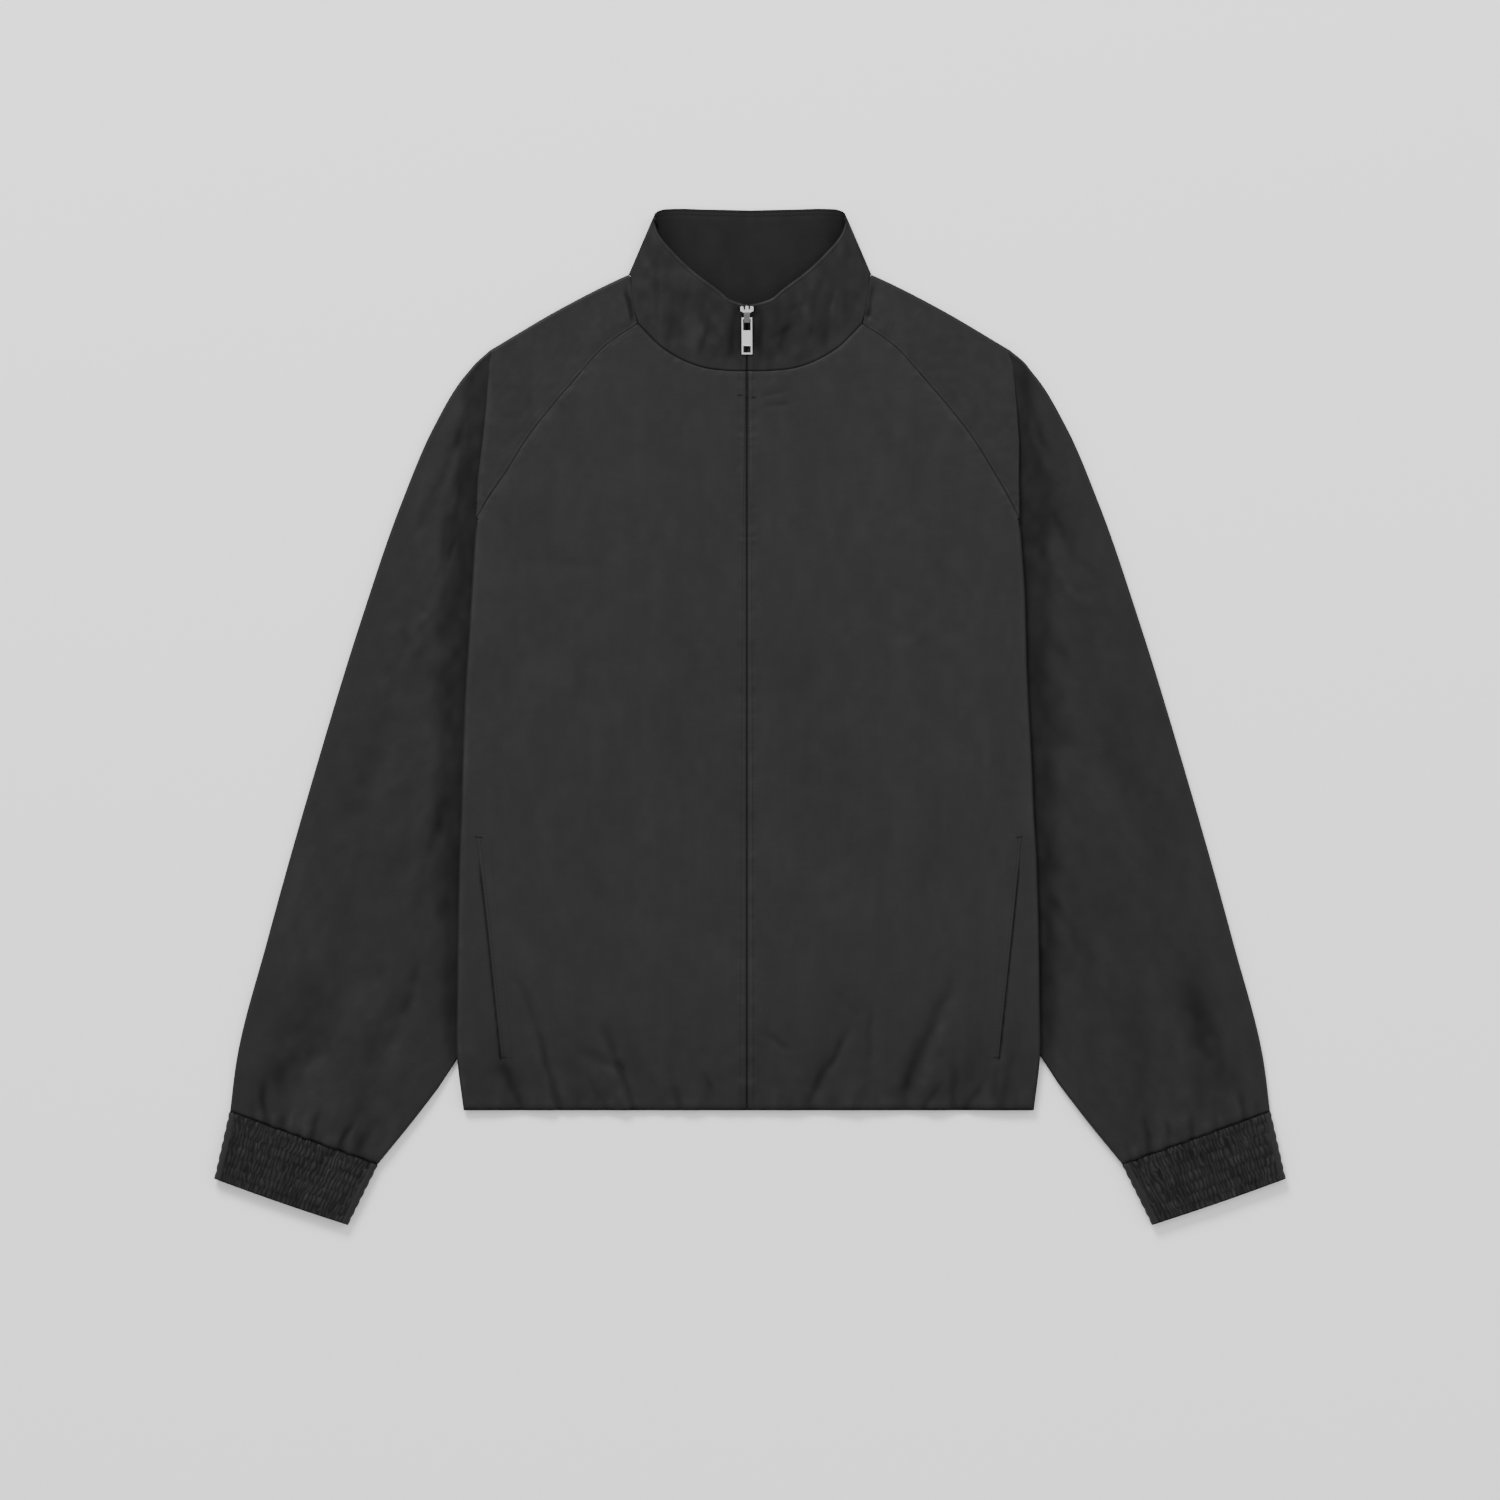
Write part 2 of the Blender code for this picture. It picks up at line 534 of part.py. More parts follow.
# ---- the cuffs --------------------------------------------------------------------
def cuff_ring(length, height, wall, rib):
    """Cross-section of a cuff as (along, z): ribbed top, round ends and a flat underside."""
    radius = height / 2
    turn = radius - wall
    top_x = np.linspace(radius, length - radius, 2 * CUFF_RIBS + 1)
    top_z = height - wall - rib * (np.arange(len(top_x)) % 2)
    angle = np.linspace(math.pi / 2, -math.pi / 2, CUFF_END_STEPS + 1)[1:-1]
    flat_x = np.linspace(length - radius, radius, CUFF_FLAT_STEPS + 1)
    far = np.stack([length - radius + turn * np.cos(angle), radius + turn * np.sin(angle)], axis=1)
    near = np.stack([radius - turn * np.cos(angle), radius - turn * np.sin(angle)], axis=1)
    return np.concatenate([np.stack([top_x, top_z], axis=1), far,
                           np.stack([flat_x, np.full(len(flat_x), wall)], axis=1), near])


def build_cuff(name, side, material, collection):
    near_line = np.array([CUFF_TOP[0], CUFF_EDGE[0]], float)
    far_line = np.array([CUFF_TOP[1], CUFF_EDGE[1]], float)
    near_line[0] += CUFF_WAY * GAP
    far_line[0] += CUFF_WAY * GAP
    shells = []
    for wall, rib in ((0.0, RIB_DEPTH * 2), (CUFF_WALL, 0.0)):
        rings = []
        for share, height in zip((0.0, 0.5, 1.0), CUFF_HEIGHTS):
            near = mix(near_line[0], near_line[1], share)
            far = mix(far_line[0], far_line[1], share)
            length = np.linalg.norm(far - near)
            ring = cuff_ring(length, height, wall, rib)
            across = ring[:, :1] / length
            plan = near + (far - near) * across
            plan += CUFF_WAY * CUFF_BOW * share * np.sin(math.pi * across)
            rings.append(in_3d(plan, ring[:, 1]))
        shells.append(mirrored(np.stack(rings), side) * MM)
    form = bmesh.new()
    outer, inner = [[[form.verts.new(p) for p in ring] for ring in shell] for shell in shells]
    count = len(outer[0])
    loops = outer + inner[::-1] + outer[:1]
    for first, second in zip(loops, loops[1:]):
        for j in range(count):
            k = (j + 1) % count
            form.faces.new((first[j], first[k], second[k], second[j]))
    bmesh.ops.recalc_face_normals(form, faces=form.faces)
    mesh = bpy.data.meshes.new(name)
    form.to_mesh(mesh)
    form.free()
    mesh.materials.append(material)
    mesh.shade_smooth()
    obj = bpy.data.objects.new(name, mesh)
    collection.objects.link(obj)
    return obj


# ---- pockets and zip --------------------------------------------------------------
def build_welt(name, side, material, collection):
    """Narrow welt along the pocket's slit, made from the front's points and moved out."""
    slit = stations_of(POCKET, WELT_ROWS)
    inner = slit - np.array([WELT_WIDTH, -WELT_WIDTH * 0.1])
    plan = ruled(slit, inner, 2)
    z = body_height(plan[..., 0] * side, plan[..., 1]) + HALF_WALL + CLEAR + WELT_WALL / 2
    return mesh_object(name, material, [mirrored(in_3d(plan, z), side)], collection, WELT_WALL)


def build_tape(name, side, material, collection):
    """Zip tape under the front's edge, from the hem to the slider at the collar's top."""
    y = np.linspace(HEM_Y, PULL_Y - 5, TAPE_ROWS + 1)[:, None]
    start = CENTRE_X * side + CLEAR
    x = np.linspace(start, start + TAPE_WIDTH, 3)[None, :] + 0 * y
    cloth_z = np.where(y > NECK_FRONT[0][1], centre_height(mix(NECK_FRONT[0][1], y, 0.94)),
                       body_height(x * side, y))
    z = cloth_z - HALF_WALL - CLEAR - TAPE_WALL / 2 - 0.05
    grid = np.stack([x, y + 0 * x, z], axis=-1)
    return mesh_object(name, material, [mirrored(grid, side)], collection, TAPE_WALL)


def block(name, size, middle, hidden=False, parent=None, collection=None):
    """A box of this size (mm) about this middle (mm), as its own object."""
    form = bmesh.new()
    bmesh.ops.create_cube(form, size=1.0)
    bmesh.ops.scale(form, vec=[s * MM for s in size], verts=form.verts)
    bmesh.ops.translate(form, vec=[m * MM for m in middle], verts=form.verts)
    mesh = bpy.data.meshes.new(name)
    form.to_mesh(mesh)
    form.free()
    obj = bpy.data.objects.new(name, mesh)
    collection.objects.link(obj)
    obj.parent = parent
    if hidden:
        obj.hide_render = True
        obj.display_type = "WIRE"
    return obj


def plate(name, half_outline, thickness, low_z, parent, collection):
    """A level plate whose outline is these points and their mirror about x = 0."""
    outline = list(half_outline) + [(-x, y) for x, y in reversed(half_outline)]
    form = bmesh.new()
    low, high = [[form.verts.new((x * MM, y * MM, z * MM)) for x, y in outline]
                 for z in (low_z, low_z + thickness)]
    form.faces.new(low[::-1])
    form.faces.new(high)
    for j in range(len(outline)):
        k = (j + 1) % len(outline)
        form.faces.new((low[j], low[k], high[k], high[j]))
    mesh = bpy.data.meshes.new(name)
    form.to_mesh(mesh)
    form.free()
    obj = bpy.data.objects.new(name, mesh)
    collection.objects.link(obj)
    obj.parent = parent
    return obj


def add_boolean(obj, other, operation):
    step = obj.modifiers.new(operation.lower(), "BOOLEAN")
    step.operation = operation
    step.object = other
    step.solver = "EXACT"


def add_bevel(obj, width, segments):
    bevel = obj.modifiers.new("soft edges", "BEVEL")
    bevel.width = width * MM
    bevel.segments = segments
    bevel.limit_method = "ANGLE"


def build_zip_head(metal, collection, tools):
    """Slider with its bail, and the pull that hangs from it, on the collar's slope."""
    climb = (PULL_Y - NECK_FRONT[0][1]) / (COLLAR_EDGE_FRONT[0][1] - NECK_FRONT[0][1])
    rise = COLLAR_RISE * 6 * (climb / 2) * (1 - climb / 2)
    slope = math.atan(rise / (COLLAR_EDGE_FRONT[0][1] - NECK_FRONT[0][1]))
    seat = bpy.data.objects.new("zip_head", None)
    collection.objects.link(seat)
    seat.location = (CENTRE_X * MM, PULL_Y * MM, (centre_height(PULL_Y) + HALF_WALL) * MM)
    seat.rotation_euler = (slope, 0.0, 0.0)

    slider = plate("zip_slider", SLIDER_HALF, SLIDER_TOP - CLEAR, CLEAR, seat, collection)
    bail = block("slider_bail", BAIL_SIZE, (0, 0.3, HINGE_LIFT), True, seat, tools)
    eye = block("slider_eye", EYE_SIZE, (0, 0, HINGE_LIFT + 0.025), True, seat, tools)
    slider.data.materials.append(metal)
    add_boolean(slider, bail, "UNION")
    add_boolean(slider, eye, "DIFFERENCE")
    add_bevel(slider, 0.2, 1)

    hinge = bpy.data.objects.new("pull_hinge", None)
    collection.objects.link(hinge)
    hinge.parent = seat
    hinge.location = (0.0, 0.0, HINGE_LIFT * MM)
    hinge.rotation_euler = (math.radians(PULL_DROOP), 0.0, 0.0)
    width, length, thick = PULL_SIZE
    pull = block("zip_pull", PULL_SIZE, (0, PULL_BAR / 2 - length / 2, 0),
                 parent=hinge, collection=collection)
    pull.data.materials.append(metal)
    add_bevel(pull, 0.4, 2)
    for number, (window, upper, lower) in enumerate(PULL_WINDOWS):
        cutter = block(f"pull_window_{number}", (window, upper - lower, thick * 3),
                       (0, (upper + lower) / 2, 0), True, hinge, tools)
        add_boolean(pull, cutter, "DIFFERENCE")
    return slider, pull


def clear_scene():
    for obj in list(bpy.data.objects):
        bpy.data.objects.remove(obj, do_unlink=True)


def cloth(name, colour, roughness, metallic=0.0):
    material = bpy.data.materials.new(name)
    material.use_nodes = True
    shader = material.node_tree.nodes["Principled BSDF"]
    shader.inputs["Base Color"].default_value = (*colour, 1.0)
    shader.inputs["Roughness"].default_value = roughness
    shader.inputs["Metallic"].default_value = metallic
    return material


def main():
    clear_scene()
    jacket = bpy.data.collections.new("track_jacket")
    bpy.context.scene.collection.children.link(jacket)
    tools = bpy.data.collections.new("cutters")
    bpy.context.scene.collection.children.link(tools)
    body_cloth = cloth("body_cloth", (0.036, 0.036, 0.036), 0.55)
    sleeve_cloth = cloth("sleeve_cloth", (0.028, 0.030, 0.030), 0.55)
    collar_cloth = cloth("collar_cloth", (0.030, 0.030, 0.030), 0.6)
    cuff_cloth = cloth("cuff_cloth", (0.022, 0.022, 0.022), 0.7)
    tape_cloth = cloth("tape_cloth", (0.015, 0.015, 0.016), 0.8)
    metal = cloth("zip_metal", (0.62, 0.62, 0.62), 0.3, 1.0)
    build_back(body_cloth, jacket)
    build_front("front_left", 1, body_cloth, jacket)
    build_front("front_right", -1, body_cloth, jacket)
    build_sleeve("sleeve_left", 1, sleeve_cloth, jacket)
    build_sleeve("sleeve_right", -1, sleeve_cloth, jacket)
    build_collar(collar_cloth, jacket)
    build_cuff("cuff_left", 1, cuff_cloth, jacket)
    build_cuff("cuff_right", -1, cuff_cloth, jacket)
    build_welt("pocket_welt_left", 1, body_cloth, jacket)
    build_welt("pocket_welt_right", -1, body_cloth, jacket)
    build_tape("zip_tape_left", 1, tape_cloth, jacket)
    build_tape("zip_tape_right", -1, tape_cloth, jacket)
    build_zip_head(metal, jacket, tools)


main()
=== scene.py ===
# A charcoal woven nylon track jacket, laid flat on its back and seen from straight above.
# Lengths in the shape functions are millimetres, and meshes are put in as metres.
import json
import math

import bmesh
import bpy
import numpy as np
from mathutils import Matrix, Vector

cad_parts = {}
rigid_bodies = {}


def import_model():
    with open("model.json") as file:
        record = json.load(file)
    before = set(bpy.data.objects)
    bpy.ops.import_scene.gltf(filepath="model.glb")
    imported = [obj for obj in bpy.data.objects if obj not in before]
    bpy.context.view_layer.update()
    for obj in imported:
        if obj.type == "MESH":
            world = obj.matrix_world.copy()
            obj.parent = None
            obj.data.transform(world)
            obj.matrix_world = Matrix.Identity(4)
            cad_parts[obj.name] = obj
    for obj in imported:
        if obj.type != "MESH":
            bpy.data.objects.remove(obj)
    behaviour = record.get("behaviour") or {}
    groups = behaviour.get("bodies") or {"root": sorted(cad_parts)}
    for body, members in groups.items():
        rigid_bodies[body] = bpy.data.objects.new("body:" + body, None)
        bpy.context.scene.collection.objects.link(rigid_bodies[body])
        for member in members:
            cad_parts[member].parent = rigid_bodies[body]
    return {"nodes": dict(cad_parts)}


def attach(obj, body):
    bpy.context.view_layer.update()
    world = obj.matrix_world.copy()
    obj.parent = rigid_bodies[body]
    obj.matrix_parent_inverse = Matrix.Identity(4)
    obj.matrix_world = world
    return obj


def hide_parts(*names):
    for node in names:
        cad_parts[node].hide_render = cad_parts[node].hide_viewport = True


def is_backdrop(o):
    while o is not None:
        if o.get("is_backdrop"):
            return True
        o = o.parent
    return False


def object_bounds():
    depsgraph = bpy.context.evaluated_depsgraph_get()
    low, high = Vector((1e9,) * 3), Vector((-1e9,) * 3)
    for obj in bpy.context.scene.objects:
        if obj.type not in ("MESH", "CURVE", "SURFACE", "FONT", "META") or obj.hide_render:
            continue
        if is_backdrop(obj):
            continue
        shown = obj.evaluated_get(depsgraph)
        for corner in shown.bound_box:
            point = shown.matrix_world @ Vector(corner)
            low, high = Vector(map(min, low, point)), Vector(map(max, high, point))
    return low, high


for leftover in list(bpy.data.objects):
    bpy.data.objects.remove(leftover)
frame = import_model()
cadBounds = [list(corner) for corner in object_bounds()]
toMetres = 0.001

# Sizes shared by all the cloth; the solids have the same ones.
cut = {
    "solidWall": 1.2,        # wall of the solids, which sets the folds' inset
    "shellWall": 0.62,       # wall of the shells made here
    "gap": 0.4,              # between pieces sewn together
    "seamGap": 0.18,         # between fronts and sleeve heads, drawn a little closer
    "collarGap": (0.35, -0.6),
    # heights of the layers' middles
    "floorLayer": 0.6,       # a turned-under side where it lies on the surface
    "tuckOver": 4.1,         # and where it lies on the sleeve
    "sleeveUnder": 2.4,      # a sleeve's upper layer under the body
    "sleeveTop": 4.9,
    "cuffEndTop": 5.7,
    "bodyTop": 4.8,
    "creaseLift": 2.6,       # how much higher the body is at its side creases
    "headLiftShare": 0.4,    # and how much of that is left at the shoulder
    "edgeTop": 3.8,
    "collarRise": 7.4,
    "collarSideZ": 8.6,
    "foldBulge": 1.8,
    "climb": (2.6, 8.4),     # where a turned-under side climbs the sleeve's edge
    # places and ways
    "hemY": -315.2,
    "centreX": -2.5,
    "sideSeamX": 178.4,
    "pullY": 318.2,
    "neckTurn": (0.77, 0.64),
    "collarTurn": (0.91, 0.41),
    "cuffWay": (0.33, -0.94),
    "cuffBow": 0.7,
    "zipHalf": 0.3,          # from the zip's middle to each front's edge
    "floorLift": 0.02,       # by which the lowest cloth clears the floor
}
foldInset = cut["foldBulge"] + cut["solidWall"] / 2
foldReach = cut["foldBulge"] + (cut["solidWall"] - cut["shellWall"]) / 2
floorMiddle = cut["shellWall"] / 2 + cut["floorLift"]
lines = {
    "neckFront": ((0, 276), (22, 276), (42, 280), (68, 293), (89.6, 313.6)),
    "neckSide": ((89.6, 313.6), (93.2, 329), (94.9, 341), (95.2, 351.5)),
    "neckBackSide": ((97, 353), (84, 345), (66, 338)),
    "neckBack": ((66, 338), (34, 327), (0, 323)),
    "collarFront": ((0, 327), (13, 330), (26, 340.5), (44, 354), (60, 369), (74.2, 387),
                    (77.4, 397.6)),
    "collarBack": ((77.2, 400.0), (75.2, 402.8), (70, 405), (62, 405.6), (36, 405.2), (0, 404.4)),
    "raglan": ((89.6, 313.6), (114, 297), (140, 269), (176, 225), (216, 157)),
    "raglanBack": ((66, 338), (112, 262), (158, 142), (180, 46)),
    "shoulder": ((97, 353), (108, 348), (152, 325.5), (208, 292.5)),
    "sleeveOuter": ((208, 292.5), (229, 271), (252, 233), (279, 170), (311, 77), (350, -51),
                    (386, -179), (411, -277), (416, -317)),
    "creaseHead": ((208, 292.5), (211.5, 225), (216, 157)),
    "creaseBody": ((216, 157), (224, 61), (230, -107), (232, -227), (232, -273), (227, -315.2)),
    "sleeveHidden": ((216, 157), (199, 102), (180, 46)),
    "inseam": ((180, 46), (187.5, 14), (190, -60), (195, -150), (206, -225), (232, -273),
               (264, -317), (298, -359)),
    "tuckInner": ((178.4, -315.2), (178.4, -150), (178.4, 34), (184, 58), (214, 150), (216, 157)),
    "cuffTop": ((298, -359), (416, -317)),
    "cuffEdge": ((321.8, -406.8), (428, -370)),
    "pocket": ((217.6, -96), (199, -274)),
}

# Folds: each a ridge (height above 0) or trough, from its faint start to its strong end.
broadFolds = (
    # startX startY  endX  endY  width height
    (-184, -205, -150, -330, 11.0, 1.5), (-166, -225, -134, -330, 10.0, -1.3),
    (-122, -240, -92, -330, 10.0, 1.4), (-103, -250, -74, -330, 9.0, -1.1),
    (-62, -262, -44, -330, 8.0, 0.9), (-205, -250, -186, -330, 9.0, -1.0),
    (-40, -276, -30, -330, 8.0, -0.7), (34, -262, 30, -330, 8.0, 0.8),
    (62, -250, 52, -330, 10.0, -1.2), (96, -250, 84, -330, 10.0, 1.1),
    (163, -220, 142, -330, 11.0, 1.5), (146, -240, 118, -330, 9.0, -1.1),
    (186, -236, 170, -330, 10.0, -1.2), (196, -258, 206, -330, 9.0, 1.1),
    (-80, 210, -150, 20, 26.0, 0.7), (84, 220, 148, 40, 28.0, 0.8),
    (-20, 120, -60, -60, 30.0, -0.6), (30, 90, 66, -110, 30.0, -0.6),
    (-318, -170, -392, -318, 15.0, -1.5), (-300, -200, -352, -330, 13.0, 1.2),
    (-268, -180, -318, -345, 12.0, -1.1), (-262, -230, -303, -345, 9.0, 1.0),
    (350, -170, 372, -318, 15.0, -1.5), (322, -196, 344, -335, 13.0, 1.2),
    (300, -200, 318, -345, 11.0, -1.1), (378, -232, 396, -318, 9.0, 1.0),
    (-250, 150, -300, 10, 20.0, 0.9), (-272, 40, -330, -90, 22.0, -0.8),
    (252, 160, 296, 20, 20.0, 0.9), (262, 30, 322, -100, 22.0, -0.8),
    (-262, 20, -292, -120, 16.0, 0.8), (276, -20, 300, -140, 16.0, 0.8),
    (-110, 300, -190, 205, 10.0, 0.6), (118, 306, 196, 200, 10.0, 0.6),
)
fineFolds = (
    # hem, wearer's right
    (-194, -196, -168, -248, 3.2, -0.7), (-178, -228, -149, -324, 2.6, -1.7),
    (-184, -236, -157, -324, 3.4, 0.7), (-124, -236, -108, -268, 4.0, -0.9),
    (-116, -250, -88, -324, 2.8, -1.6), (-124, -258, -98, -324, 3.4, 0.8),
    (-130, -284, -112, -324, 2.8, -1.0), (-66, -284, -52, -324, 2.6, -0.9),
    (-40, -268, -26, -302, 3.0, 0.6), (-80, -272, -66, -324, 3.4, 0.5),
    (-206, -262, -180, -318, 3.8, -1.1), (-146, -264, -98, -284, 5.0, -0.9),
    (-164, -288, -152, -324, 3.0, -0.8), (-36, -280, -30, -300, 2.4, -0.7),
    # hem, wearer's left
    (6, -250, 30, -266, 2.6, -0.8), (84, -242, 52, -300, 3.0, -1.5),
    (92, -246, 62, -304, 4.0, 0.7), (64, -214, 86, -240, 3.0, -0.5),
    (97, -224, 95, -274, 2.8, -1.0), (103, -226, 102, -276, 3.4, 0.5),
    (166, -196, 124, -300, 4.4, -1.6), (176, -206, 136, -304, 5.0, 0.8),
    (164, -250, 163, -320, 3.6, -1.0), (158, -286, 132, -322, 2.8, -1.4),
    (190, -286, 168, -322, 2.8, -1.1), (212, -262, 198, -322, 3.6, -0.9),
    (76, -288, 70, -322, 3.0, 0.6), (196, -276, 196, -306, 2.6, -0.8),
    # by the zip under the collar
    (4, 254, 26, 262, 2.4, -0.45), (6, 244, 30, 250, 2.4, -0.35), (8, 262, 22, 268, 2.2, 0.3),
    # sleeves down to the gathered cuffs
    (-330, -214, -342, -268, 10.0, -0.7), (-330, -250, -384, -300, 9.0, -0.9),
    (-390, -290, -388, -334, 2.2, -1.8), (-384, -286, -381, -336, 3.0, 1.1),
    (-368, -314, -377, -340, 2.2, -1.6), (-362, -308, -369, -342, 2.8, 1.0),
    (-342, -310, -353, -348, 2.4, -1.6), (-348, -306, -360, -344, 2.8, 0.9),
    (-316, -320, -330, -356, 2.4, -1.9), (-310, -316, -322, -354, 3.0, 1.1),
    (-294, -318, -316, -352, 4.0, -1.1), (-402, -300, -407, -332, 3.0, 0.8),
    (-397, -306, -400, -336, 2.2, -1.1), (-330, -312, -340, -348, 3.0, 0.8),
    (-384, -330, -390, -348, 1.8, -0.9), (-360, -330, -366, -346, 1.8, -0.9),
    (352, -200, 364, -272, 9.0, -0.9), (372, -250, 392, -306, 8.0, -0.9),
    (390, -296, 395, -330, 2.2, -1.8), (384, -292, 388, -332, 3.0, 1.0),
    (372, -316, 375, -338, 2.2, -1.6), (366, -306, 369, -340, 3.0, 1.0),
    (352, -314, 355, -347, 2.4, -1.6), (346, -310, 349, -346, 3.0, 0.9),
    (332, -320, 339, -352, 2.2, -1.8), (326, -316, 331, -352, 3.0, 1.0),
    (314, -314, 321, -358, 2.6, -1.4), (404, -302, 406, -330, 2.2, -1.1),
    (308, -316, 311, -358, 3.2, 0.9), (396, -318, 399, -336, 1.8, -0.8),
    # long soft breaks of the sleeves
    (-226, 236, -262, 150, 5.0, -0.7), (-240, 118, -276, 30, 6.0, 0.7),
    (-236, -20, -262, -150, 5.0, -0.6), (-346, -40, -372, -170, 5.0, 0.5),
    (232, 214, 262, 120, 6.0, -0.7), (246, 60, 276, -60, 6.0, 0.7),
    (330, -30, 360, -150, 5.0, 0.5), (254, -110, 272, -230, 6.0, -0.6),
    (-214, 268, -236, 214, 3.6, -0.7), (217, 262, 240, 206, 3.6, -0.7),
    (-229, 148, -239, 122, 2.4, -0.7), (-266, 94, -260, 80, 2.8, -0.4),
    (-247, 98, -262, 72, 3.4, 0.35), (-280, 74, -274, 56, 2.4, -0.4),
    (238, 176, 254, 140, 2.8, -0.6), (244, 120, 262, 90, 3.4, 0.35),
    (250, 30, 264, 2, 2.8, -0.5), (-252, -60, -246, -96, 3.0, -0.5),
    (262, -160, 258, -204, 3.4, -0.6), (-262, -190, -276, -240, 4.0, -0.7),
    # by the neck, beside the collar's side
    (-101, 350, -94, 318, 1.7, -1.9), (100, 352, 93, 318, 1.7, -1.9),
    (-104, 342, -96, 318, 1.8, 0.5), (99, 342, 92, 316, 1.8, 0.5),
    # shallow breaks of the fronts
    (-196, 128, -120, 120, 5.0, -0.3), (-60, 196, -46, 120, 6.0, -0.3),
    (-130, -40, -122, -150, 7.0, -0.35), (-88, -20, -84, -168, 6.0, 0.35),
    (122, 150, 176, 96, 6.0, -0.35), (52, 30, 60, -90, 7.0, 0.3),
    (150, -20, 140, -150, 7.0, -0.35), (190, 60, 204, -60, 6.0, -0.35),
)
collarFolds = (
    (-20, 322, -22, 272, 4.0, 0.7), (-34, 330, -34, 276, 4.5, -0.7),
    (-50, 345, -44, 280, 5.0, 0.8), (-68, 365, -62, 290, 5.5, -0.7),
    (12, 322, 14, 272, 4.0, 0.7), (28, 330, 27, 276, 4.5, -0.7),
    (46, 345, 40, 280, 5.0, 0.8), (66, 365, 60, 290, 5.5, -0.7),
    (-12, 330, -14, 286, 2.4, -1.2), (8, 330, 10, 280, 2.4, -1.3),
    (-28, 336, -42, 282, 2.6, -0.8), (-76, 376, -74, 312, 2.8, -1.1),
    (40, 346, 22, 288, 2.6, -0.9), (58, 362, 48, 300, 2.8, -0.7),
    (12, 298, 34, 314, 2.2, -0.8), (78, 372, 76, 322, 3.0, -0.8),
    (-50, 352, -54, 316, 2.2, -0.5), (24, 322, 44, 328, 2.4, -0.6),
    (70, 352, 66, 318, 2.2, 0.6), (-62, 340, -66, 306, 2.2, 0.5),
)


def smoothStep(x):
    x = np.clip(x, 0.0, 1.0)
    return x * x * (3.0 - 2.0 * x)


def mix(a, b, share):
    return a + (b - a) * share


# A bell: 1 at x = 0, and e^-1 at this width beside it.
def bell(x, width):
    return np.exp(-((x / width) ** 2))


# Smooth curve through the stations: on each span a cubic with the neighbours' mean slope.
def lineAlong(stations, shares):
    p = np.asarray(stations, float)
    chord = np.r_[0.0, np.cumsum(np.linalg.norm(np.diff(p, axis=0), axis=1))]
    slope = np.gradient(p, chord, axis=0)
    t = np.linspace(0.0, chord[-1], 1200)
    i = np.clip(np.searchsorted(chord, t, side="right") - 1, 0, len(p) - 2)
    span = (chord[i + 1] - chord[i])[:, None]
    s = (t[:, None] - chord[i][:, None]) / span
    dense = ((2 * s**3 - 3 * s**2 + 1) * p[i] + (s**3 - 2 * s**2 + s) * span * slope[i]
             + (3 * s**2 - 2 * s**3) * p[i + 1] + (s**3 - s**2) * span * slope[i + 1])
    run = np.r_[0.0, np.cumsum(np.linalg.norm(np.diff(dense, axis=0), axis=1))]
    at = np.asarray(shares) * run[-1]
    return np.stack([np.interp(at, run, dense[:, k]) for k in (0, 1)], axis=1)


def evenly(name, count):
    return lineAlong(lines[name], np.linspace(0.0, 1.0, count + 1))


def normalsOf(points, flip=1.0):
    run = np.gradient(points, axis=0)
    run /= np.linalg.norm(run, axis=1, keepdims=True)
    return flip * np.stack([-run[:, 1], run[:, 0]], axis=1)


def withZ(plan, z):
    return np.concatenate([plan, np.broadcast_to(z, plan.shape[:-1])[..., None]], axis=-1)


def mirrored(grid, side):
    return grid * np.array([side, 1.0, 1.0])


# Straight lines between two plan lines: (1 - v) * first + v * last.
def ruled(first, last, v):
    v = np.asarray(v)[None, :, None]
    return first[:, None] * (1 - v) + last[:, None] * v


# Half-ellipse round from each top point to the low point: middle + half * cos a + bulge * sin a.
def foldOver(top, low, normals, bulge, steps=8):
    a = np.linspace(0.0, math.pi, steps + 1)[None, :, None]
    reach = withZ(normals * np.broadcast_to(bulge, (len(normals),))[:, None], 0.0)[:, None]
    return (top + low)[:, None] / 2 + (top - low)[:, None] / 2 * np.cos(a) + reach * np.sin(a)


# Value noise: random heights on a lattice, blended by smooth steps between the corners.
def crinkle(x, y, stepX, stepY, seed):
    lattice = np.random.default_rng(seed).uniform(-1, 1, (256, 256))
    gx, gy = np.asarray(x) / stepX, np.asarray(y) / stepY
    ix, iy = np.floor(gx).astype(int), np.floor(gy).astype(int)
    fx, fy = smoothStep(gx - ix), smoothStep(gy - iy)
    corner = lambda dx, dy: lattice[(ix + dx) % 256, (iy + dy) % 256]
    low = mix(corner(0, 0), corner(1, 0), fx)
    high = mix(corner(0, 1), corner(1, 1), fx)
    return mix(low, high, fy)


# Sum of bells across runs: height * exp(-(across / width)^2), grown along the run. A
# small noise bends the runs and makes each one swell and thin.
def ridges(x, y, table):
    x, y = (x + 1.7 * crinkle(x, y, 13, 17, 71) + 0.6 * crinkle(x, y, 5, 7, 74),
            y + 2.2 * crinkle(x, y, 16, 13, 72))
    total = np.zeros(np.broadcast(x, y).shape)
    for startX, startY, endX, endY, width, height in table:
        runX, runY = endX - startX, endY - startY
        length = math.hypot(runX, runY)
        along = ((x - startX) * runX + (y - startY) * runY) / length**2
        across = ((x - startX) * runY - (y - startY) * runX) / length
        grown = smoothStep(along / 0.55) * (1 - smoothStep((along - 0.9) / 0.25))
        total += height * bell(across, width) * grown
    return total * (1 + 0.45 * crinkle(x, y, 8, 11, 73))


creaseLine = np.concatenate([evenly("creaseHead", 60), evenly("creaseBody", 200)])
edgeLine = np.concatenate([evenly("sleeveHidden", 60), evenly("inseam", 300)])


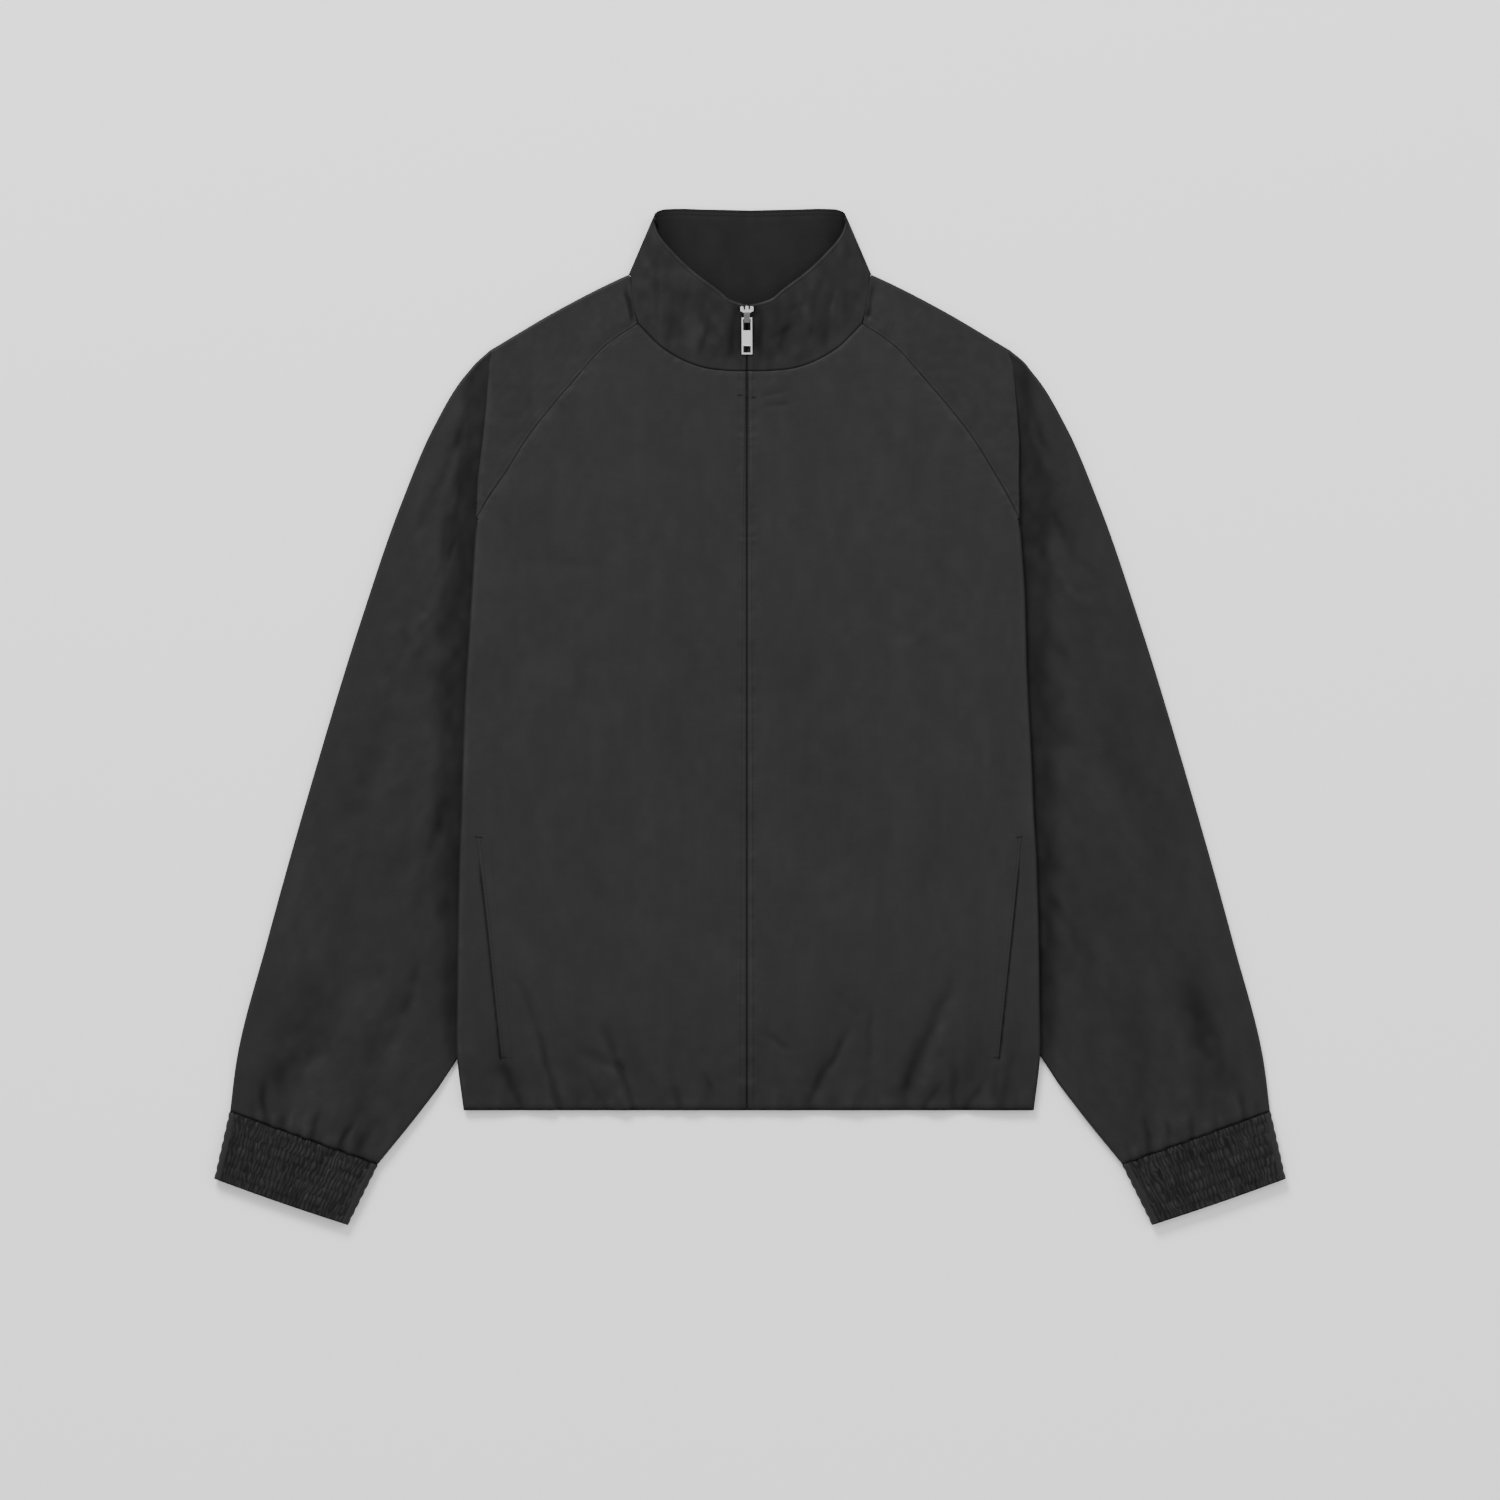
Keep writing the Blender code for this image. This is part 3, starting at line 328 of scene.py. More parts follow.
def creaseX(y):
    return np.interp(y, creaseLine[::-1, 1], creaseLine[::-1, 0])


# How far each side crease lies outside its line, by height: viewer's left, then right.
creaseShift = {
    -1: ((-316, 2.1), (-230, 2.2), (-170, 2.3), (-110, 2.2), (-80, 1.6), (10, 1.5), (60, 0.9),
         (100, 1.6), (130, 2.4), (160, 3.2), (190, 4.0), (220, 2.4), (250, 1.6), (280, 1.6),
         (292, 0)),
    1: ((-316, 0), (-230, -0.3), (-170, -0.3), (-110, -0.9), (-80, -2.2), (-50, -2.6),
        (10, -3.8), (40, -3.8), (70, -2.6), (100, -1.0), (160, 0), (190, 1.6), (220, 4.0),
        (250, 4.0), (280, 3.0), (292, 0)),
}


def shifted(points, lowToo=True):
    x, y = points[..., 0], points[..., 1]
    out = np.abs(x) - creaseX(y)
    fade = mix(mix(14, 40, smoothStep((250 - y) / 90)), 8, smoothStep((-y - 240) / 30))
    share = smoothStep((out + 22) / 18) * (1 - smoothStep((out - 4) / fade))
    if not lowToo:
        share = share * smoothStep((y + 282) / 26)
    left, right = (np.interp(y, *np.transpose(creaseShift[side])) for side in (-1, 1))
    moved = points.copy()
    moved[..., 0] = x + share * np.where(x < 0, -left, right)
    return moved


def sleeveEdgeX(y):
    return np.interp(y, edgeLine[::-1, 1], edgeLine[::-1, 0])


# The cloth's own unevenness: four sizes of crinkle, all longer down the cloth.
def clothGrain(x, y):
    return (0.20 * crinkle(x, y, 44, 60, 8) + 0.13 * crinkle(x, y, 16, 24, 3)
            + 0.08 * crinkle(x, y, 7.5, 11, 5) + 0.045 * crinkle(x, y, 3.6, 4.6, 6))


# Soft patches a little darker or paler than the rest.
def mottleShade(x, y):
    return 0.055 * crinkle(x, y, 15, 38, 91) + 0.05 * crinkle(x, y, 6.5, 12, 92)


# Distance to a plan line, and the length run along it to the nearest point.
def besideLine(x, y, name):
    line = evenly(name, 520)
    gap = np.hypot(x[..., None] - line[:, 0], y[..., None] - line[:, 1])
    return gap.min(axis=-1), gap.argmin(axis=-1) * np.linalg.norm(line[1] - line[0])


seams = {"raglan": (0.35, 2.4, 41), "neckFront": (0.45, 2.0, 43)}    # dip, sewn row, seed


# Relief and painted shade beside a sewn seam: a dip at the seam, darkened with painted shade, a
# sewn row this far from it, a painted highlight between them, and puckers that die away, with
# painted light and shade over them.
def seamRelief(x, y, name):
    dip, row, seed = seams[name]
    away, run = besideLine(x, y, name)
    pucker = crinkle(run, away * 0.5, 4.4, 6, seed) + 0.5 * crinkle(run, away, 2.3, 5, seed + 1)
    near = bell(away, 5.0)
    height = (0.3 * pucker * near * smoothStep(away) - dip * bell(away, 1.0)
              - 0.12 * bell(away - row, 0.8))
    shade = (0.3 * bell(away, 0.6) + 0.13 * pucker * near
             - 0.12 * (1 + 1.3 * pucker) * bell(away - 0.6 * row, 0.8))
    return height, shade


# Where the edge beside the zip runs, and how far a place lies outside it.
def zipEdgeX(side):
    return cut["centreX"] * side + cut["zipHalf"]


def fromZipEdge(x):
    return np.abs(x - cut["centreX"]) - cut["zipHalf"]


# Fronts and sleeve heads: level, rising to the side crease, with the folds added.
def bodyHeight(x, y, fine=True):
    side = np.abs(x)
    lift = smoothStep((side - 148) / (creaseX(y) - 160)) * mix(0.3, 1.0, smoothStep((y + 303) / 40))
    lift = lift * mix(1.0, cut["headLiftShare"], smoothStep((y - 165) / 60))
    fromZip = np.abs(x - cut["centreX"])
    calm = smoothStep((fromZip - 4) / 14) * (1 - smoothStep((side - 206) / 20) * 0.8)
    height = cut["bodyTop"] + cut["creaseLift"] * lift + ridges(x, y, broadFolds) * calm
    if fine:
        near = smoothStep((fromZip - 2) / 8)
        height += ridges(x, y, fineFolds) * near + clothGrain(x, y) * near
    return height


def tuckHeight(x, y):
    high, low = cut["climb"]
    return mix(cut["floorLayer"], cut["tuckOver"],
               smoothStep((x - sleeveEdgeX(y) + low) / (low - high)))


def centreHeight(y):
    climb = (y - 276) / 52
    return cut["bodyTop"] + cut["collarRise"] * smoothStep(np.clip(climb, 0, 1) * 0.5) * 2


# Painted shade at the bottom of the folds' troughs, from 0 on the level cloth, and a faint painted
# highlight on their ridges.
def troughShade(x, y, table, share=0.34):
    return share * np.clip(-ridges(x, y, table) / 1.4, -0.10, 1.0)


# Even steps from each station to the next, with these counts.
def steps(stations, counts):
    runs = [np.linspace(a, b, count + 1)[1:]
            for a, b, count in zip(stations, stations[1:], counts)]
    return np.concatenate([[stations[0]], *runs])


# Even shares from 0 to 1, drawn closer together at both ends.
def closerAtEnds(count, pull):
    t = np.linspace(0.0, 1.0, count + 1)
    return t - pull * np.sin(2 * math.pi * t) / (2 * math.pi)


def linked(name, data):
    obj = bpy.data.objects.new(name, data)
    bpy.context.scene.collection.objects.link(obj)
    return obj


# Grids of points are welded into one surface, and Solidify gives the cloth its wall. A
# grid may bring its own shade: how much painted shade darkens the cloth there, or, below 0,
# how much painted highlight lightens it.
def sheetObject(name, patches, material, wall=None, lowToo=True):
    points, quads, shades, start = [], [], [], 0
    for patch in patches:
        grid, shade = patch if isinstance(patch, tuple) else (patch, 0.0)
        rows, columns = grid.shape[:2]
        ids = np.arange(rows * columns).reshape(rows, columns) + start
        quads.append(np.stack([ids[:-1, :-1], ids[:-1, 1:], ids[1:, 1:], ids[1:, :-1]], axis=-1)
                     .reshape(-1, 4))
        points.append(grid.reshape(-1, 3))
        shades.append(np.broadcast_to(shade, (rows, columns)).reshape(-1))
        start += rows * columns
    mesh = bpy.data.meshes.new(name)
    mesh.from_pydata((shifted(np.concatenate(points), lowToo) * toMetres).tolist(), [],
                     np.concatenate(quads).tolist())
    shadeValues = mesh.attributes.new("shade", "FLOAT", "POINT")
    shadeValues.data.foreach_set("value", np.concatenate(shades).astype(np.float32))
    form = bmesh.new()
    form.from_mesh(mesh)
    bmesh.ops.remove_doubles(form, verts=form.verts, dist=0.00002)
    bmesh.ops.dissolve_degenerate(form, edges=form.edges, dist=0.000005)
    bmesh.ops.recalc_face_normals(form, faces=form.faces)
    form.to_mesh(mesh)
    form.free()
    mesh.shade_smooth()
    mesh.materials.append(material)
    obj = linked(name, mesh)
    thick = obj.modifiers.new("clothWall", "SOLIDIFY")
    thick.thickness = (wall or cut["shellWall"]) * toMetres
    thick.offset = 0.0
    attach(obj, "jacket")
    return obj


def meshObject(name, points, faces, material):
    mesh = bpy.data.meshes.new(name)
    mesh.from_pydata((shifted(points) * toMetres).tolist(), [], faces)
    mesh.shade_smooth()
    mesh.materials.append(material)
    obj = linked(name, mesh)
    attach(obj, "jacket")
    return obj


# Four-sided faces round bars of five rings, with this many points to a ring.
def barFaces(around, bars):
    i, j = np.meshgrid(np.arange(4) * around, np.arange(around), indexing="ij")
    beside = (j + 1) % around
    face = np.stack([i + j, i + around + j, i + around + beside, i + beside], axis=-1)
    return (face.reshape(-1, 4) + 5 * around * np.arange(bars)[:, None, None]).reshape(-1, 4)


# Gives each socket of a node its value, or a link from another node.
def feed(node, sockets):
    for slot, value in sockets:
        if isinstance(value, Sock):
            value.tree.links.new(value.link, node.inputs[slot])
        else:
            node.inputs[slot].default_value = value


def grey(tone):
    return tone, tone, tone


# A shader socket, with sums written as plain expressions.
class Sock:
    def __init__(self, tree, link):
        self.tree, self.link = tree, link

    def calc(self, operation, *values):
        node = self.tree.nodes.new("ShaderNodeMath")
        node.operation = operation
        feed(node, enumerate(values))
        return Sock(self.tree, node.outputs[0])

    def __add__(self, other):
        return self.calc("ADD", self, other)

    def __radd__(self, other):
        return self.calc("ADD", other, self)

    def __sub__(self, other):
        return self.calc("SUBTRACT", self, other)

    def __rsub__(self, other):
        return self.calc("SUBTRACT", other, self)

    def __mul__(self, other):
        return self.calc("MULTIPLY", self, other)

    def __rmul__(self, other):
        return self.calc("MULTIPLY", other, self)

    def sin(self):
        return self.calc("SINE", self)

    def atMost(self, other):
        return self.calc("MINIMUM", self, other)

    def atLeast(self, other):
        return self.calc("MAXIMUM", self, other)


class Shader:
    def __init__(self, name):
        self.material = bpy.data.materials.new(name)
        self.material.use_nodes = True
        self.tree = self.material.node_tree
        self.bsdf = self.tree.nodes["Principled BSDF"]

    # any node: its settings first, then the values or links of its sockets
    def node(self, kind, settings=None, output=0, numbered=None, **sockets):
        node = self.tree.nodes.new(kind)
        for key, value in (settings or {}).items():
            if key == "stops":
                ramp = node.color_ramp
                while len(ramp.elements) < len(value):
                    ramp.elements.new(0.5)
                for element, (place, colour) in zip(ramp.elements, value):
                    element.position = place
                    element.color = (*colour, 1.0)
            else:
                setattr(node, key, value)
        named = {key.replace("_", " "): value for key, value in sockets.items()}
        feed(node, {**named, **(numbered or {})}.items())
        return Sock(self.tree, node.outputs[output])

    # colour a where the factor is 0, b where it is 1
    def blend(self, factor, a, b):
        return self.node("ShaderNodeMix", {"data_type": "RGBA"}, 2, {0: factor, 6: a, 7: b})

    def attribute(self, name):
        return self.node("ShaderNodeAttribute", {"attribute_name": name}, 2)

    def fixed(self, **values):
        for key, value in values.items():
            self.bsdf.inputs[key.replace("_", " ")].default_value = value

    def place(self, turn=0.0):
        spot = self.node("ShaderNodeTexCoord", output=3)
        return self.node("ShaderNodeMapping", Vector=spot, Rotation=(0.0, 0.0, turn))

    # noise drawn out along one way by unequal scales
    def streaks(self, spot, scales, detail=2.0):
        stretched = self.node("ShaderNodeMapping", Vector=spot, Scale=scales)
        return self.node("ShaderNodeTexNoise", Vector=stretched, Scale=1.0, Detail=detail)

    def noise(self, spot, scale, detail=3.0, rough=0.5):
        return self.node("ShaderNodeTexNoise", Vector=spot, Scale=scale, Detail=detail,
                         Roughness=rough)

    def ramp(self, factor, stops):
        return self.node("ShaderNodeValToRGB", {"stops": stops}, Fac=factor)

    def axes(self, spot):
        split = self.tree.nodes.new("ShaderNodeSeparateXYZ")
        self.tree.links.new(spot.link, split.inputs[0])
        return [Sock(self.tree, split.outputs[k]) for k in range(3)]

    def plug(self, slot, value):
        self.tree.links.new(value.link, self.bsdf.inputs[slot])

    def bump(self, height, distance, strength=1.0, under=None):
        sockets = {"Height": height, "Distance": distance, "Strength": strength}
        if under is not None:
            sockets["Normal"] = under
        return self.node("ShaderNodeBump", **sockets)


# Woven nylon: crossing threads, slubs along them, and a dry crinkle over both. The painted
# shade that each piece carries goes into its colour, dark at 1; below 0 it is painted highlight,
# pale.
def clothShader(name, tone, turn, look):
    sh = Shader(name)
    spot = sh.place(turn)
    x, y, _ = sh.axes(spot)
    pitch = 2 * math.pi / look["threadPitch"]
    weave = (x * pitch).sin() * (y * pitch).sin()
    slubs = sh.streaks(spot, (900.0, 50.0, 50.0))
    crossSlubs = sh.streaks(spot, (50.0, 900.0, 50.0))
    longStreaks = sh.streaks(spot, (140.0, 9.0, 9.0))
    mottle = sh.noise(spot, 42.0, 5.0, 0.62)
    fine = sh.noise(spot, 190.0, 4.0, 0.6)
    tones = (mottle * 0.24 + fine * 0.22 + longStreaks * 0.22 + slubs * 0.17
             + crossSlubs * 0.15)
    spread = look["toneSpread"]
    low, high = tone * (1 - spread), tone * (1 + spread)
    colour = sh.ramp(tones, ((0.34, grey(low)), (0.66, grey(high))))
    shade = sh.attribute("shade")
    paintedShade = shade.atLeast(0.0).atMost(1.0)
    paintedHighlight = (shade * -1.0).atLeast(0.0).atMost(1.0)
    colour = sh.blend(paintedShade, colour, (*grey(tone * 0.04), 1.0))
    colour = sh.blend(paintedHighlight, colour, (*grey(tone * 3), 1.0))
    sh.plug("Base Color", colour)
    sh.plug("Roughness", (mottle * 0.06 + paintedShade * 0.3 + look["roughness"]).atMost(1.0))
    dry = sh.noise(spot, 300.0, 5.0, 0.65)
    broad = sh.noise(spot, 95.0, 3.0, 0.55)
    base = sh.bump(dry * 0.5 + broad, look["crinkleDepth"])
    threads = sh.bump(weave * fine * 0.6 + slubs * 0.8 + crossSlubs * 0.8, look["threadDepth"],
                      0.6, base)
    sh.plug("Normal", threads)
    sh.fixed(Sheen_Weight=look["sheen"], Sheen_Roughness=0.45, Specular_IOR_Level=look["gloss"])
    return sh.material


clothLook = {"threadPitch": 0.00055, "roughness": 0.58, "crinkleDepth": 0.00022,
             "threadDepth": 0.00005, "toneSpread": 0.10, "sheen": 0.02, "gloss": 0.16}
tones = {"body": 0.0118, "sleeve": 0.0102, "collar": 0.0094, "cuff": 0.0112}
sleeveLean = math.radians(15.5)     # the sleeves' threads run down the sleeve
bodyCloth = clothShader("bodyCloth", tones["body"], 0.0, clothLook)
sleeveClothLeft = clothShader("sleeveClothLeft", tones["sleeve"], sleeveLean, clothLook)
sleeveClothRight = clothShader("sleeveClothRight", tones["sleeve"], -sleeveLean, clothLook)
collarCloth = clothShader("collarCloth", tones["collar"], 0.0, clothLook)
cuffCloth = clothShader("cuffCloth", tones["cuff"], 0.3, dict(clothLook, sheen=0.03))


def threadShader():
    sh = Shader("sewingThread")
    spot = sh.place()
    twist = sh.noise(spot, 2400.0, 2.0)
    sh.plug("Base Color", sh.ramp(twist, ((0.3, grey(0.006)), (0.7, grey(0.011)))))
    sh.plug("Roughness", twist * 0.15 + 0.75)
    sh.plug("Normal", sh.bump(twist, 0.00006))
    sh.fixed(Specular_IOR_Level=0.08)
    return sh.material


def tapeShader():
    sh = Shader("zipTapeWeave")
    spot = sh.place()
    x, y, _ = sh.axes(spot)
    rib = (y * (2 * math.pi / 0.0009)).sin() * (x * (2 * math.pi / 0.0012)).sin()
    shade = sh.noise(spot, 300.0, 3.0)
    sh.plug("Base Color", sh.ramp(shade, ((0.3, grey(0.005)), (0.7, grey(0.010)))))
    sh.plug("Roughness", shade * 0.2 + 0.65)
    sh.plug("Normal", sh.bump(rib, 0.00012))
    return sh.material


# Satin silver: fine brushing, faint wear, and a much darker part behind a line across.
def metalShader(name, tone, brushing, darkPart=None):
    sh = Shader(name)
    spot = sh.place()
    streaks = sh.streaks(spot, brushing, 3.0)
    wear = sh.noise(spot, 900.0, 4.0, 0.6)
    colour = sh.ramp(wear * 0.6 + streaks * 0.4, ((0.3, grey(tone * 0.86)), (0.7, grey(tone))))
    if darkPart:
        _, y, _ = sh.axes(spot)
        behind = ((darkPart[0] - y) * 4000.0).atLeast(0.0).atMost(1.0)
        colour = sh.blend(behind, colour, (*grey(darkPart[1]), 1.0))
    sh.plug("Base Color", colour)
    sh.plug("Roughness", streaks * 0.16 + 0.26)
    sh.plug("Normal", sh.bump(streaks * 0.6 + wear * 0.4, 0.00002))
    sh.fixed(Metallic=1.0)
    return sh.material


sewingThread = threadShader()
zipTapeWeave = tapeShader()
evenBrushing = grey(2500.0)
pullMetal = metalShader("pullMetal", 0.90, (9000.0, 400.0, 400.0))
sliderMetal = metalShader("sliderMetal", 0.80, evenBrushing, (0.3222, 0.17))
# The teeth are near black: painted shade for the narrow slot between the fronts that they sit in.
teethMetal = metalShader("teethMetal", 0.05, evenBrushing)
print("materials ready")

# The fronts, each with its side that turns under.
frontForm = {
    "columns": 126, "creaseRows": 166, "raglanRows": 100, "crowding": 0.62,
    "edgeRoll": 0.5, "edgeRollWidth": 1.3, "hemRoll": 1.5, "hemRollWidth": 2.4,
    "edgeRidge": 0.22, "puckerDepth": 0.28, "stitchInset": 5.2, "stitchGroove": 0.18,
    "slitDepth": 1.0, "slitWidth": 0.9, "pocketSink": 0.44, "outsideDrop": 0.25,
    "lipHeight": 0.3, "hemGather": 0.5, "hemCrinkle": 0.35,
    # painted shades darken and painted highlights lighten; some by side
    "zipDark": (0.55, 0.8), "edgeHighlight": 0.10, "lowDark": {-1: 0.16, 1: 0.2},
    "gatherShade": 0.14, "crinkleShade": 0.10, "puckerShade": 0.12, "hemDark": 0.75,
    "slitDark": 0.75, "besideSlitDark": 0.05, "lipHighlight": {-1: 0.13, 1: 0.03},
}


def neckFrontLine(side, shares):
    neck = lineAlong(lines["neckFront"], shares)
    neck[:, 0] = mix(zipEdgeX(side), neck[:, 0], smoothStep(3 * shares))
    return neck


# Share along the pocket's slit, and distance from it, positive towards the side seam.
def pocketAcross(x, y):
    (x0, y0), (x1, y1) = lines["pocket"]
    length = math.hypot(x1 - x0, y1 - y0)
    along = ((x - x0) * (x1 - x0) + (y - y0) * (y1 - y0)) / length**2
    across = ((x - x0) * (y1 - y0) - (y - y0) * (x1 - x0)) / length
    return along, -across


# 1 within the shares from 0 to 1 of a run, 0 outside, with ends this soft.
def within(share, soft):
    return smoothStep(share / soft + 0.5) * smoothStep((1 - share) / soft + 0.5)


def insideCrease(x, y):
    return creaseX(y) - cut["foldBulge"] - x


# Gathers close to the hem, softer wrinkles up to 70 above it, and puckers by the zip.
def frontCrinkles(x, y, side):
    fromHem = y - cut["hemY"]
    return (crinkle(x * side, y, 4.6, 30, 34) * bell(fromHem - 7, 9),
            crinkle(x * side, y, 6.5, 8.5, 35) * smoothStep((70 - fromHem) / 60),
            crinkle(x * 0.4, y, 9, 3.2, 31))


# The visible front: the body's height, rolled down at zip and hem, sunk under the welt,
# with a groove at the slit, a sewn row beside the zip and a lip along the side crease.
def frontHeight(x, y, side):
    g = frontForm
    z = bodyHeight(x * side, y)
    fromZip = fromZipEdge(x * side)
    z -= g["edgeRoll"] * (1 - smoothStep(fromZip / g["edgeRollWidth"])) ** 2
    z += g["edgeRidge"] * bell(fromZip - 3.0, 1.5)
    z -= g["stitchGroove"] * bell(fromZip - g["stitchInset"], 0.9)
    gather, wrinkle, pucker = frontCrinkles(x, y, side)
    z += g["puckerDepth"] * pucker * bell(fromZip - g["stitchInset"], 2.6)
    z -= g["hemRoll"] * (1 - smoothStep((y - cut["hemY"]) / g["hemRollWidth"])) ** 2
    z += g["hemGather"] * gather + g["hemCrinkle"] * wrinkle
    z += seamRelief(x, y, "raglan")[0] + seamRelief(x, y, "neckFront")[0]
    along, across = pocketAcross(x, y)
    inSlit = within(along, 0.045)
    deep = mix(0.25, 1.0, smoothStep((along - 0.08) / 0.12))
    z -= g["slitDepth"] * deep * bell(across - 0.5, g["slitWidth"]) * inSlit
    outside = smoothStep(across / 1.2) * (1 - smoothStep((across - 8) / 12))
    z -= g["outsideDrop"] * outside * inSlit
    under = smoothStep((8.8 + across) / 4) * (1 - smoothStep(across / 0.8 + 0.4))
    ends = smoothStep(along / 0.05) * smoothStep((1 - along) / 0.05)
    z -= g["pocketSink"] * under * ends
    return z + g["lipHeight"] * bell(insideCrease(x, y) - 0.6, 1.2) * smoothStep((150 - y) / 20)


# A painted highlight along the side crease, stronger on the viewer's left.
def lipPale(x, y, side):
    uneven = 1 + 0.6 * crinkle(x * side * 0.3, y, 8, 7, 37)
    return frontForm["lipHighlight"][side] * uneven * bell(insideCrease(x, y) - 0.8, 2.0)


# (more on the viewer's right), at the raglan seam, along the hem's roll, in the slit and on the
# lower
# Painted light and shade on a front: shade in the folds' troughs, in the zip's gap, towards the hem
# shade over the hem's gathers and crinkles and the puckers by the zip; and soft random patches.
# strip beside it; highlight on the viewer's right of the zip and along the side crease; light and
def frontShade(x, y, side):
    g = frontForm
    shade = troughShade(x * side, y, fineFolds) + 0.5 * troughShade(x * side, y, broadFolds)
    fromZip = fromZipEdge(x * side)
    nearTop = smoothStep((y - 60) / 220)
    shade += mix(*g["zipDark"], nearTop) * bell(fromZip, mix(0.7, 1.0, nearTop))
    shade -= g["edgeHighlight"] * bell(fromZip - 2.6, 1.2) * (x * side > cut["centreX"])
    shade += g["lowDark"][side] * smoothStep((-170 - y) / 140)
    shade += mottleShade(x * side, y)
    gather, wrinkle, pucker = frontCrinkles(x, y, side)
    shade += g["gatherShade"] * gather + g["crinkleShade"] * wrinkle
    shade -= g["puckerShade"] * pucker * bell(fromZip - 4, 3.5)
    shade += seamRelief(x, y, "raglan")[1] * smoothStep((276 - y) / 4)
    shade += g["hemDark"] * bell(y - cut["hemY"], 1.0)
    along, across = pocketAcross(x, y)
    inSlit = within(along, 0.012)
    shade += g["slitDark"] * bell(across - 0.3, 0.9) * inSlit * smoothStep((along - 0.1) / 0.1)
    beside = smoothStep(across) * (1 - smoothStep((across - 12) / 10))
    return shade + g["besideSlitDark"] * beside * inSlit - lipPale(x, y, side)


# Surface between four lines: the mix of its sides plus the mix of its ends, less the
# mix of its corners.
def betweenLines(inner, outer, low, high, across, rise):
    u, v = across[None, :, None], rise[:, None, None]
    corners = ((1 - u) * (1 - v) * inner[0] + u * (1 - v) * outer[0]
               + (1 - u) * v * inner[-1] + u * v * outer[-1])
    return ((1 - u) * inner[:, None] + u * outer[:, None]
            + (1 - v) * low[None] + v * high[None] - corners)


def frontGrid(side):
    g = frontForm
    crease = evenly("creaseBody", g["creaseRows"])[::-1]
    crease[:, 0] -= foldInset
    seam = evenly("raglan", g["raglanRows"])[::-1]
    seam = seam - normalsOf(seam, -1.0) * cut["seamGap"] / 2
    seam[0] = crease[-1]
    outer = np.concatenate([crease, seam[1:]])
    rise = (outer[:, 1] - cut["hemY"]) / (outer[-1, 1] - cut["hemY"])
    inner = np.stack([np.full(len(outer), zipEdgeX(side)),
                      mix(cut["hemY"], 276 - cut["gap"] / 2, rise)], axis=1)
    across = closerAtEnds(g["columns"], g["crowding"])
    neck = neckFrontLine(side, across)
    neck[:, 1] -= cut["gap"] / 2
    neck[-1] = outer[-1]
    hem = mix(inner[0], outer[0], across[:, None])
    plan = betweenLines(inner, outer, hem, neck, across, rise)
    x, y = plan[..., 0], plan[..., 1]
    return withZ(plan, frontHeight(x, y, side)), frontShade(x, y, side)


def tuckGrid(edge):
    share = np.interp(edge[:, 1], (cut["hemY"], -20, 157), (0.0, 0.6, 1.0))
    inner = lineAlong(lines["tuckInner"], share)
    inner[:, 0] = np.maximum(inner[:, 0], cut["sideSeamX"])
    inner[-1] = edge[-1, :2]
    width = np.maximum(edge[:, 0] - inner[:, 0], 0.01)
    sleeve = sleeveEdgeX(mix(edge[:, 1], inner[:, 1], 0.7))
    high = np.clip((edge[:, 0] - sleeve + cut["climb"][0]) / width, 0.1, 0.9)
    low = np.clip((edge[:, 0] - sleeve + cut["climb"][1]) / width, high + 0.04, 0.97)
    shares = np.stack([0 * high, high / 2, high, (2 * high + low) / 3, (high + 2 * low) / 3,
                       low, np.ones(len(high))], axis=1)[..., None]
    plan = edge[:, None, :2] * (1 - shares) + inner[:, None] * shares
    return withZ(plan, tuckHeight(plan[..., 0], plan[..., 1]))


def makeFront(name, node, side):
    top, shade = frontGrid(side)
    frontTops[side] = top
    rows = frontForm["creaseRows"] + 1
    edge = top[:rows, -1]
    tuck = tuckGrid(edge)
    bulge = foldReach * mix(0.4, 1.0, smoothStep((158 - edge[:, 1]) / 14))
    strip = foldOver(edge, tuck[:, 0], np.tile([1.0, 0.0], (len(edge), 1)), bulge)
    turned = np.linspace(0, 1, strip.shape[1])[None, :]
    # Painted shade: the strip darkens as it turns under, and the tuck beneath is dark all over.
    stripShade = mix(shade[:rows, -1:], 0.7, smoothStep(turned * 1.6))
    obj = sheetObject(name, [(mirrored(top, side), shade), (mirrored(strip, side), stripShade),
                             (mirrored(tuck, side), 0.6)], bodyCloth)
    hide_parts(node)
    return obj


frontTops = {}
frontLeft = makeFront("frontLeftCloth", "front_left", 1)
frontRight = makeFront("frontRightCloth", "front_right", -1)
print("fronts ready")

# The back, one plain piece.
backForm = {"columns": 30, "sideRows": 50, "raglanRows": 30}


def makeBack():
    g = backForm
    raglan = evenly("raglanBack", g["raglanRows"])[::-1]
    raglan[:, 0] -= cut["gap"]
    raglan[-1, 1] -= cut["gap"]
    sideX = cut["sideSeamX"] - cut["gap"]
    sideLine = np.stack([np.full(g["sideRows"], sideX),
                         np.linspace(cut["hemY"], 34, g["sideRows"])], axis=1)
    raglan[0, 0] = sideX
    outer = np.concatenate([sideLine, raglan])
    neck = evenly("neckBack", g["columns"])[::-1]
    neck[:, 1] -= cut["gap"]
    neck[-1] = outer[-1]
    rise = (outer[:, 1] - cut["hemY"]) / (outer[-1, 1] - cut["hemY"])
    across = np.linspace(0, 1, g["columns"] + 1)
    inner = np.stack([np.zeros(len(outer)), mix(cut["hemY"], neck[0, 1], rise)], axis=1)
    hem = mix(inner[0], outer[0], across[:, None])
    plan = betweenLines(inner, outer, hem, neck, across, rise)
    half = withZ(plan, floorMiddle)
    obj = sheetObject("backCloth", [half, mirrored(half, -1)], bodyCloth)
    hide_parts("back_panel")
    return obj


back = makeBack()

